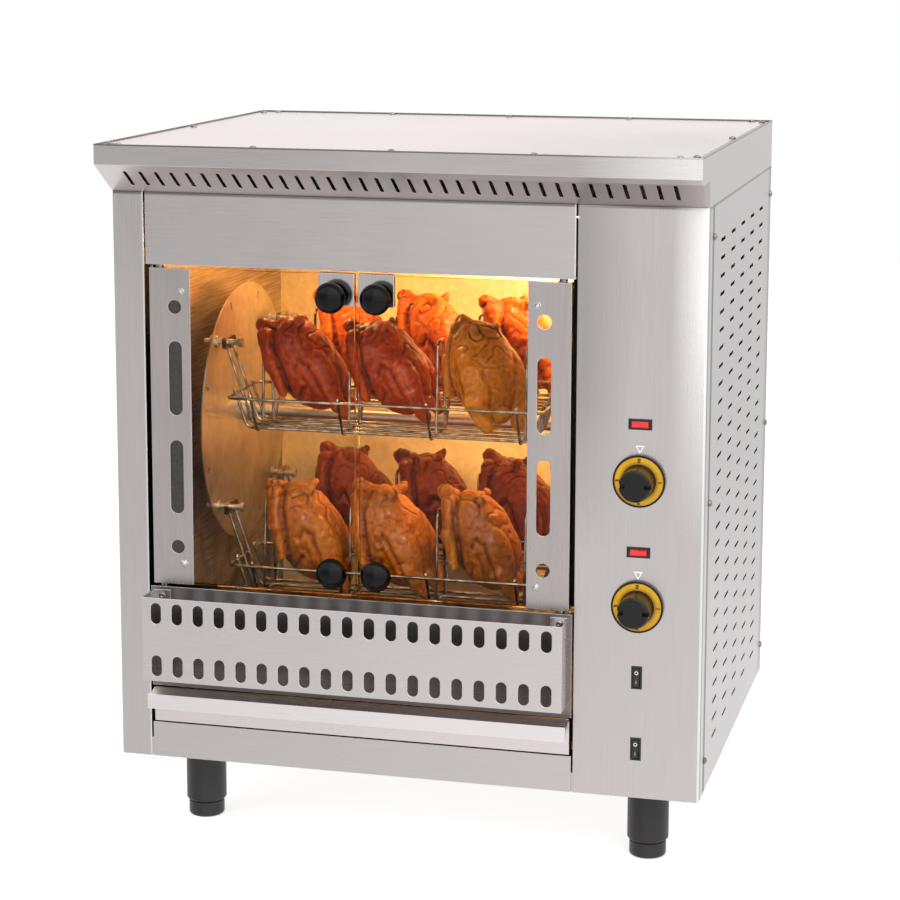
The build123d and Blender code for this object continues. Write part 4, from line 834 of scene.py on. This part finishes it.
# The stiles' backs are painted near black as shade.
stile_steel = sheet_steel("stile_steel", upright, "CBC3C1", "BFB7B5", 0.3, [
    (gap_shade, 0.95, ("Y", stile_back, 1.0, 0.0003))])
dress(stile_steel, "left_door_stile", "right_door_stile")
clip_steel = sheet_steel("clip_steel", upright, "E8E2E0", "D2CCCA", 0.14)
dress(clip_steel, "left_door_clip", "right_door_clip")
door_glass = Finish("door_glass", "FBF8F2", 0.0, Transmission_Weight=1.0, IOR=1.17)
smears = door_glass.cloud(7.0, detail=5.0, warp=1.0)
door_glass.wire("Base Color", door_glass.tint(smears, (0.4, "FBF8F2"), (0.8, "F1EADD")))
dress(door_glass, "left_door_glass", "right_door_glass")
knob_black = moulded_plastic("knob_black", "050505", "090808", 0.2, "121111")
knob_black.set(Specular_IOR_Level=0.1, Coat_Weight=0.25, Coat_Roughness=0.03)
dress(knob_black, "left_door_knobs", "right_door_knobs")

bolt_steel = Finish("bolt_steel", "E6E2DE", 0.18, metallic=1.0)
bolt_wear = bolt_steel.cloud(320.0)
bolt_steel.wire("Base Color", bolt_steel.tint(bolt_wear, (0.35, "B8B3AF"), (0.6, "F2EFEC")))
bolt_steel.wire("Roughness", bolt_steel.spread(bolt_wear, 0.1, 0.28))
bolt_inset_x, bolt_inset_z = 0.043, 0.029
nut_radius, nut_height, nut_chamfer, nut_sides = 0.0052, 0.0034, 0.0008, 6
bolt_radius, bolt_height, bolt_crown, bolt_sides = 0.0029, 0.0062, 0.0012, 20


def bolts(shape, x, heights):
    """A nut with the rounded end of its bolt, at each height."""
    for height in heights:
        turn = Matrix.Translation((x, stile_front, height)) @ Matrix.Rotation(math.pi / 2, 4, "X")
        nut = [(0, 0), (nut_radius, 0), (nut_radius, nut_height - nut_chamfer),
               (nut_radius - nut_chamfer, nut_height), (bolt_radius, nut_height), (0, nut_height)]
        bolt = [(0, 0), (bolt_radius, 0), (bolt_radius, bolt_height - bolt_crown),
                (bolt_radius * 0.7, bolt_height - bolt_crown * 0.2), (0, bolt_height)]
        lathe(shape, nut, turn, nut_sides)
        lathe(shape, bolt, turn, bolt_sides)


# Painted shade: a dark strip behind the left stile's slots stands in for the shade seen through them.
slot_shade_rubber = Finish("slot_shade_rubber", "35312F", 0.55)
shade_strip_skin = slot_shade_rubber.cloud(240.0)
slot_shade_rubber.wire("Base Color", slot_shade_rubber.tint(shade_strip_skin, (0.3, "2C2826"), (0.7, "403B38")))
slot_shade_rubber.emboss(shade_strip_skin, 0.2, 0.0004)
strip_inset, strip_corner, strip_turns = 0.006, 0.004, 4
strip_front, strip_thick = -0.27025, 0.0004


def stile_gasket(shape):
    """The flat dark strip between the left stile and the glass, with rounded corners: painted shade seen
    through the stile's slots.
    """
    low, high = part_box("left_door_stile")
    left, right = low.x + strip_inset + strip_corner, high.x - strip_inset - strip_corner
    bottom, top = low.z + strip_inset + strip_corner, high.z - strip_inset - strip_corner
    outline = []
    for quarter, (x, z) in enumerate(((right, top), (left, top), (left, bottom), (right, bottom))):
        for k in range(strip_turns + 1):
            angle = math.pi / 2 * (quarter + k / strip_turns)
            outline.append((x + strip_corner * math.cos(angle), z + strip_corner * math.sin(angle)))
    strip_back = strip_front + strip_thick
    prism(shape, [[shape.verts.new((x, y, z)) for x, z in outline] for y in (strip_front, strip_back)])


new_piece("left_door_shade_strip", "left_door", [slot_shade_rubber], stile_gasket, smooth=False)
for door in ("left_door", "right_door"):
    stile_low, stile_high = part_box(door + "_stile")
    bolt_x = stile_low.x + bolt_inset_x if door == "left_door" else stile_high.x - bolt_inset_x
    bolt_heights = (stile_low.z + bolt_inset_z, stile_high.z - bolt_inset_z)
    new_piece(door + "_bolts", door, [bolt_steel],
              lambda shape: bolts(shape, bolt_x, bolt_heights), smooth=False)


# Control column
# Two heat dials, two pilot lamps and two rocker switches on the control panel. Dials and bezels are
# moulded plastic; the dials carry a yellow ring with printed figures, with a printed pointer above each.

panel_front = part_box("control_panel")[0].y
dial_low, dial_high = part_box("upper_dial")
dial_x, dial_radius = (dial_low.x + dial_high.x) / 2, (dial_high.x - dial_low.x) / 2
bezel_black = moulded_plastic("bezel_black", "0F0F10", "1A1919", 0.3, "3A3838")
dress(bezel_black, "panel_bezels")
off_rise, off_inside, off_outside = 0.0062, (0.0013, 0.0016), (0.0023, 0.0026)
on_half_width, on_low, on_high = 0.0005, 0.0072, 0.0032
for name in ("upper_rocker", "lower_rocker"):
    rocker = Finish(name + "_plastic", "101011", 0.2, Coat_Weight=0.4, Coat_Roughness=0.08)
    rocker_low, rocker_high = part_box(name)
    middle_z = (rocker_low.z + rocker_high.z) / 2
    sheen = rocker.cloud(180.0)
    shade = rocker.tint(sheen, (0.3, "0C0C0D"), (0.7, "1C1B1B"))
    off_mark = rocker.from_line(dial_x, middle_z + off_rise)
    ring = rocker.sum(rocker.spread(off_mark, 0.0, 1.0, *off_inside),
                      rocker.spread(off_mark, 1.0, 0.0, *off_outside), "MULTIPLY")
    shade = rocker.mix(ring, shade, "E6E6E6")
    shade = rocker.mark(shade, "9A9A9A", 0.9, ("X", dial_x - on_half_width, dial_x + on_half_width, 0.0002),
                        ("Z", middle_z - on_low, middle_z - on_high, 0.0004))
    rocker.wire("Base Color", shade)
    rocker.wire("Roughness", rocker.spread(sheen, 0.16, 0.3))
    rocker.soften(0.0006)
    dress(rocker, name)

lens_red = Finish("lens_red", "C8141C", 0.15, Coat_Weight=0.5, Coat_Roughness=0.05)
flutes = lens_red.cloud(1.0, (500.0, 30.0, 500.0))
lens_low, lens_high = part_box("pilot_lenses")
lens_tall = 0.0076
# The lens glows faintly all over as the pilot lamp's light, with brighter painted highlights in bands near
# its bottom and top.
highlight_height, highlight_fade = lens_tall * 0.3, lens_tall * 0.6
lower_highlight = lens_red.band("Z", lens_low.z, lens_low.z + highlight_height, highlight_fade)
upper_highlight = lens_red.band("Z", lens_high.z - lens_tall, lens_high.z - lens_tall * 0.7, highlight_fade)
highlight_bands = lens_red.sum(lower_highlight, upper_highlight)
lens_red.wire("Base Color", lens_red.tint(flutes, (0.3, "A00C14"), (0.7, "E03034")))
lens_red.wire("Emission Strength", lens_red.spread(highlight_bands, 0.25, 0.75))
lens_red.set(Emission_Color=swatch("FF241C"))
dress(lens_red, "pilot_lenses")

print_ink = Finish("print_ink", "14110C", 0.5)
print_ink.wire("Base Color", print_ink.tint(print_ink.cloud(900.0), (0.3, "0E0C08"), (0.7, "221C12")))
# The white print has a faint painted glow.
print_white_glow = Finish("print_white_glow", "FFFFFF", 0.6, Emission_Color=(1.0, 1.0, 1.0, 1.0),
                     Emission_Strength=0.12)
print_white_glow.wire("Base Color", print_white_glow.tint(print_white_glow.cloud(500.0), (0.3, "F4F2F0"), (0.7, "FFFFFF")))
ring_inner, ring_outer, ring_limit, ring_fade = 0.0216, 0.0305, 0.040, 0.0002
figure_reach, figure_size, figure_lift = 0.0262, 0.0074, 0.0054
ink_thickness, ink_bold = 0.0001, 0.00018
pointer_half_width, pointer_height, pointer_gap, pointer_line = 0.0056, 0.0100, 0.0012, 0.0012
pointer_stand, pointer_thick, pointer_middle = 0.0001, 0.0002, 0.62


def figures(shape, middle_z):
    """The figures 0 to 3 round a dial's ring, each with its foot towards the middle."""
    for figure in range(4):
        angle = figure * math.pi / 2
        out = Vector((math.sin(angle), 0.0, math.cos(angle)))
        across_dial = Vector((math.cos(angle), 0.0, -math.sin(angle)))
        letters = bpy.data.curves.new("figure", "FONT")
        letters.body, letters.size = str(figure), figure_size
        letters.extrude, letters.offset = ink_thickness, ink_bold
        letters.align_x, letters.align_y = "CENTER", "CENTER"
        form = bpy.data.objects.new("figure", letters)
        bpy.context.collection.objects.link(form)
        flat = bpy.data.meshes.new_from_object(form.evaluated_get(bpy.context.evaluated_depsgraph_get()))
        bpy.data.objects.remove(form)
        turn = Matrix((across_dial, out, (0.0, -1.0, 0.0))).transposed().to_4x4()
        spot = Vector((dial_x, panel_front - figure_lift, middle_z)) + out * figure_reach
        flat.transform(Matrix.Translation(spot) @ turn)
        shape.from_mesh(flat)


def pointer(shape, middle_z):
    """An outlined triangle that points down at the dial."""
    tip = middle_z + dial_radius + pointer_gap
    corners = [(-pointer_half_width, pointer_height), (pointer_half_width, pointer_height), (0.0, 0.0)]
    centre = pointer_height * pointer_middle
    inside = 1.0 - pointer_line / (pointer_half_width * 0.6)
    loops = []
    for lift in (0.0, pointer_thick):
        for share in (1.0, inside):
            y = panel_front - pointer_stand - lift
            loops.append([shape.verts.new((dial_x + x * share, y, tip + centre + (z - centre) * share))
                          for x, z in corners])
    back_out, back_in, front_out, front_in = loops
    for first, second in ((front_out, front_in), (front_in, back_in), (back_in, back_out),
                          (back_out, front_out)):
        for k in range(3):
            shape.faces.new((first[k], first[(k + 1) % 3], second[(k + 1) % 3], second[k]))
    bmesh.ops.recalc_face_normals(shape, faces=shape.faces)


for name in ("upper_dial", "lower_dial"):
    dial_low, dial_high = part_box(name)
    dial_z = (dial_low.z + dial_high.z) / 2
    dial = Finish(name + "_plastic", "161514", 0.2, Specular_IOR_Level=0.25, Coat_Weight=0.2,
                  Coat_Roughness=0.05)
    reach = dial.from_line(dial_x, dial_z)
    inner, outer = ring_inner / ring_limit, ring_outer / ring_limit
    rings = dial.tint(dial.spread(reach, 0.0, 1.0, 0.0, ring_limit),
                      (0.0, "161514"), (inner - 0.03, "0A0908"), (inner, "D9A21A"), (outer, "0B0B0B"))
    rings.node.color_ramp.interpolation = "CONSTANT"
    print_wear = dial.cloud(60.0, detail=3.0)
    gold = dial.sum(dial.spread(reach, 0.0, 1.0, ring_inner, ring_inner + ring_fade),
                    dial.spread(reach, 1.0, 0.0, ring_outer - ring_fade, ring_outer), "MULTIPLY")
    gold = dial.sum(gold, dial.spread(print_wear, 0.0, 0.7, 0.35, 0.75), "MULTIPLY")
    colour = dial.mix(gold, rings, "EDB92C")
    # The shoulder is painted a dark bronze-brown as a painted reflection of the yellow ring.
    shoulder = ("Y", panel_front - 0.0120, panel_front - 0.0058, 0.0008)
    dial.wire("Base Color", dial.mark(colour, "1E1508", 0.88, shoulder))
    dial.wire("Roughness", dial.spread(print_wear, 0.16, 0.26))
    dial.soften(0.0014)
    dial.emboss(dial.cloud(1100.0), 0.04, 0.0002)
    dress(dial, name)
    new_piece(name + "_figures", name, [print_ink],
              lambda shape: figures(shape, dial_z), smooth=False)
    new_piece(name + "_pointer", "cabinet", [print_white_glow],
              lambda shape: pointer(shape, dial_z), smooth=False)


# Studio floor, light and camera
# A pale floor reaches away behind the oven under soft, even light, and small warm lamps light the oven
# from inside. The camera stands to the right of the front, above the hood.

floor_finish = Finish("floor", "F2F1F0", 0.9)
floor_tone = floor_finish.cloud(1.5)
floor_finish.wire("Base Color", floor_finish.tint(floor_tone, (0.0, "F0EFEE"), (1.0, "F6F5F4")))
seen = floor_finish.add("ShaderNodeLightPath")
floor_glow, floor_reach = 0.55, 6.0
floor_finish.wire("Emission Strength", floor_finish.sum(
    seen.outputs["Is Camera Ray"], floor_glow, "MULTIPLY"))
floor_finish.set(Emission_Color=(1.0, 1.0, 1.0, 1.0))
floor_mesh = bpy.data.meshes.new("floor")
floor_mesh.from_pydata([(-floor_reach, -floor_reach, 0), (floor_reach, -floor_reach, 0),
                        (floor_reach, floor_reach, 0), (-floor_reach, floor_reach, 0)], [], [(0, 1, 2, 3)])
floor_mesh.materials.append(floor_finish.material)
floor = bpy.data.objects.new("floor", floor_mesh)
bpy.context.collection.objects.link(floor)
floor.visible_glossy = False

world = bpy.data.worlds.new("studio")
world.use_nodes = True
bpy.context.scene.world = world
tree = world.node_tree
sky = tree.nodes["Background"]


def world_node(kind, inputs=(), **settings):
    """A new node of the studio's light, with its settings and inputs."""
    node = tree.nodes.new(kind)
    for name, value in settings.items():
        setattr(node, name, value)
    for place, value in inputs:
        if isinstance(value, bpy.types.NodeSocket):
            tree.links.new(value, node.inputs[place])
        else:
            node.inputs[place].default_value = value
    return node


def world_range(value, start, end, low, high):
    """A value's range from start to end turned smoothly into low to high."""
    inputs = [("Value", value), ("From Min", start), ("From Max", end), ("To Min", low), ("To Max", high)]
    return world_node("ShaderNodeMapRange", inputs, interpolation_type="SMOOTHSTEP").outputs[0]


def world_sum(first, second, how):
    """Two values worked into one."""
    return world_node("ShaderNodeMath", [(0, first), (1, second)], operation=how).outputs[0]


def world_mix(share, first, second):
    """The first value where the share is 0, and the second where it is 1."""
    return world_node("ShaderNodeMix", [(0, share), (2, first), (3, second)], data_type="FLOAT").outputs[0]


# What shiny metal sees: ahead of the oven a floor that pales downwards, a window, a low light on the
# right and a ceiling, and behind it a pale room, darkest where floor and wall meet.
direction = world_node("ShaderNodeTexCoord").outputs["Generated"]
compass = world_node("ShaderNodeSeparateXYZ", [("Vector", direction)]).outputs
low_front = world_range(compass["Z"], -0.36, -0.05, 0.80, 0.54)
low_front = world_sum(low_front, world_range(compass["X"], -0.44, -0.14, 0.92, 1.08), "MULTIPLY")
window = world_sum(world_range(compass["X"], -0.20, -0.09, 0.0, 0.6),
                   world_range(compass["Z"], -0.24, -0.07, 0.0, 1.0), "MULTIPLY")
low_right = world_sum(world_range(compass["X"], -0.34, -0.16, 0.0, 1.0),
                      world_range(compass["Z"], -0.33, -0.18, 0.17, 0.0), "MULTIPLY")
overhead = world_range(compass["Z"], 0.15, 0.6, 0.0, 0.7)
front_light = world_sum(world_sum(world_sum(low_front, low_right, "ADD"), window, "ADD"), overhead, "ADD")
back_light = world_sum(world_range(compass["Z"], -0.08, 0.08, 0.80, 1.08),
                       world_range(compass["Z"], -0.31, -0.19, 0.24, 0.0), "ADD")
mirror = world_mix(world_range(compass["Y"], -0.4, 0.2, 0.0, 1.0), front_light, back_light)
path = world_node("ShaderNodeLightPath").outputs
shiny = world_sum(path["Is Glossy Ray"], path["Is Transmission Ray"], "MAXIMUM")
room_light, backdrop_light = 0.55, 1.0
soft = world_mix(shiny, room_light, mirror)
shown = world_mix(path["Is Camera Ray"], soft, backdrop_light)
tree.links.new(shown, sky.inputs["Strength"])
sky.inputs["Color"].default_value = (1.0, 1.0, 1.0, 1.0)


def soft_lamp(name, place, aim, width, power, colour=(1.0, 1.0, 1.0), glossy=True):
    """A soft panel lamp at a place, turned to its aim."""
    data = bpy.data.lights.new(name, "AREA")
    data.shape, data.size, data.energy, data.color = "DISK", width, power, colour
    lamp = bpy.data.objects.new(name, data)
    lamp.location = place
    lamp.rotation_euler = (Vector(aim) - Vector(place)).to_track_quat("-Z", "Y").to_euler()
    lamp.visible_glossy = glossy
    bpy.context.collection.objects.link(lamp)


oven_middle = (0.0, 0.0, 0.4)
soft_lamp("key", (1.6, -2.6, 2.6), oven_middle, 2.0, 60, glossy=False)
soft_lamp("fill", (-2.4, -2.2, 1.8), oven_middle, 2.4, 30, glossy=False)
oven_glow, hot_glow = (1.0, 0.60, 0.24), (1.0, 0.86, 0.60)
lamp_width = 0.05
lamp_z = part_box("oven_lamp_glasses")[0].z - 0.008
rear_y = axle_y + 0.105
wall_y, wall_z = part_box("liner_back")[0].y - 0.045, lamp_z - 0.030
for x, y, z, tilt, power, colour in (
        (-0.210, axle_y, lamp_z, 0.0, 1.0, oven_glow), (0.125, rear_y, lamp_z, 0.65, 8.0, oven_glow),
        (0.050, wall_y, wall_z, 2.0, 0.42, hot_glow), (0.150, wall_y, wall_z, 2.0, 0.75, hot_glow)):
    soft_lamp("oven_lamp_light", (x, y, z), (x + 0.3 * tilt, y + tilt, z - 1.0), lamp_width, power, colour)

camera_data = bpy.data.cameras.new("camera")
camera_data.sensor_width, camera_data.lens, camera_data.shift_y = 36.0, 98.36, -0.12
camera = bpy.data.objects.new("camera", camera_data)
bpy.context.collection.objects.link(camera)
camera_place = Vector((0.81664, -3.20892, 1.17389))
yaw, pitch, roll = -0.25137, -0.16062, 0.00234
ahead = Vector((math.sin(yaw) * math.cos(pitch), math.cos(yaw) * math.cos(pitch), math.sin(pitch)))
right = Vector((math.cos(yaw), -math.sin(yaw), 0))
up = right.cross(ahead)
right, up = right * math.cos(roll) + up * math.sin(roll), up * math.cos(roll) - right * math.sin(roll)
turn = Matrix((right, up, -ahead)).transposed().to_4x4()
camera.matrix_world = Matrix.Translation(camera_place) @ turn
scene = bpy.context.scene
scene.camera = camera
scene.view_settings.view_transform = "Standard"
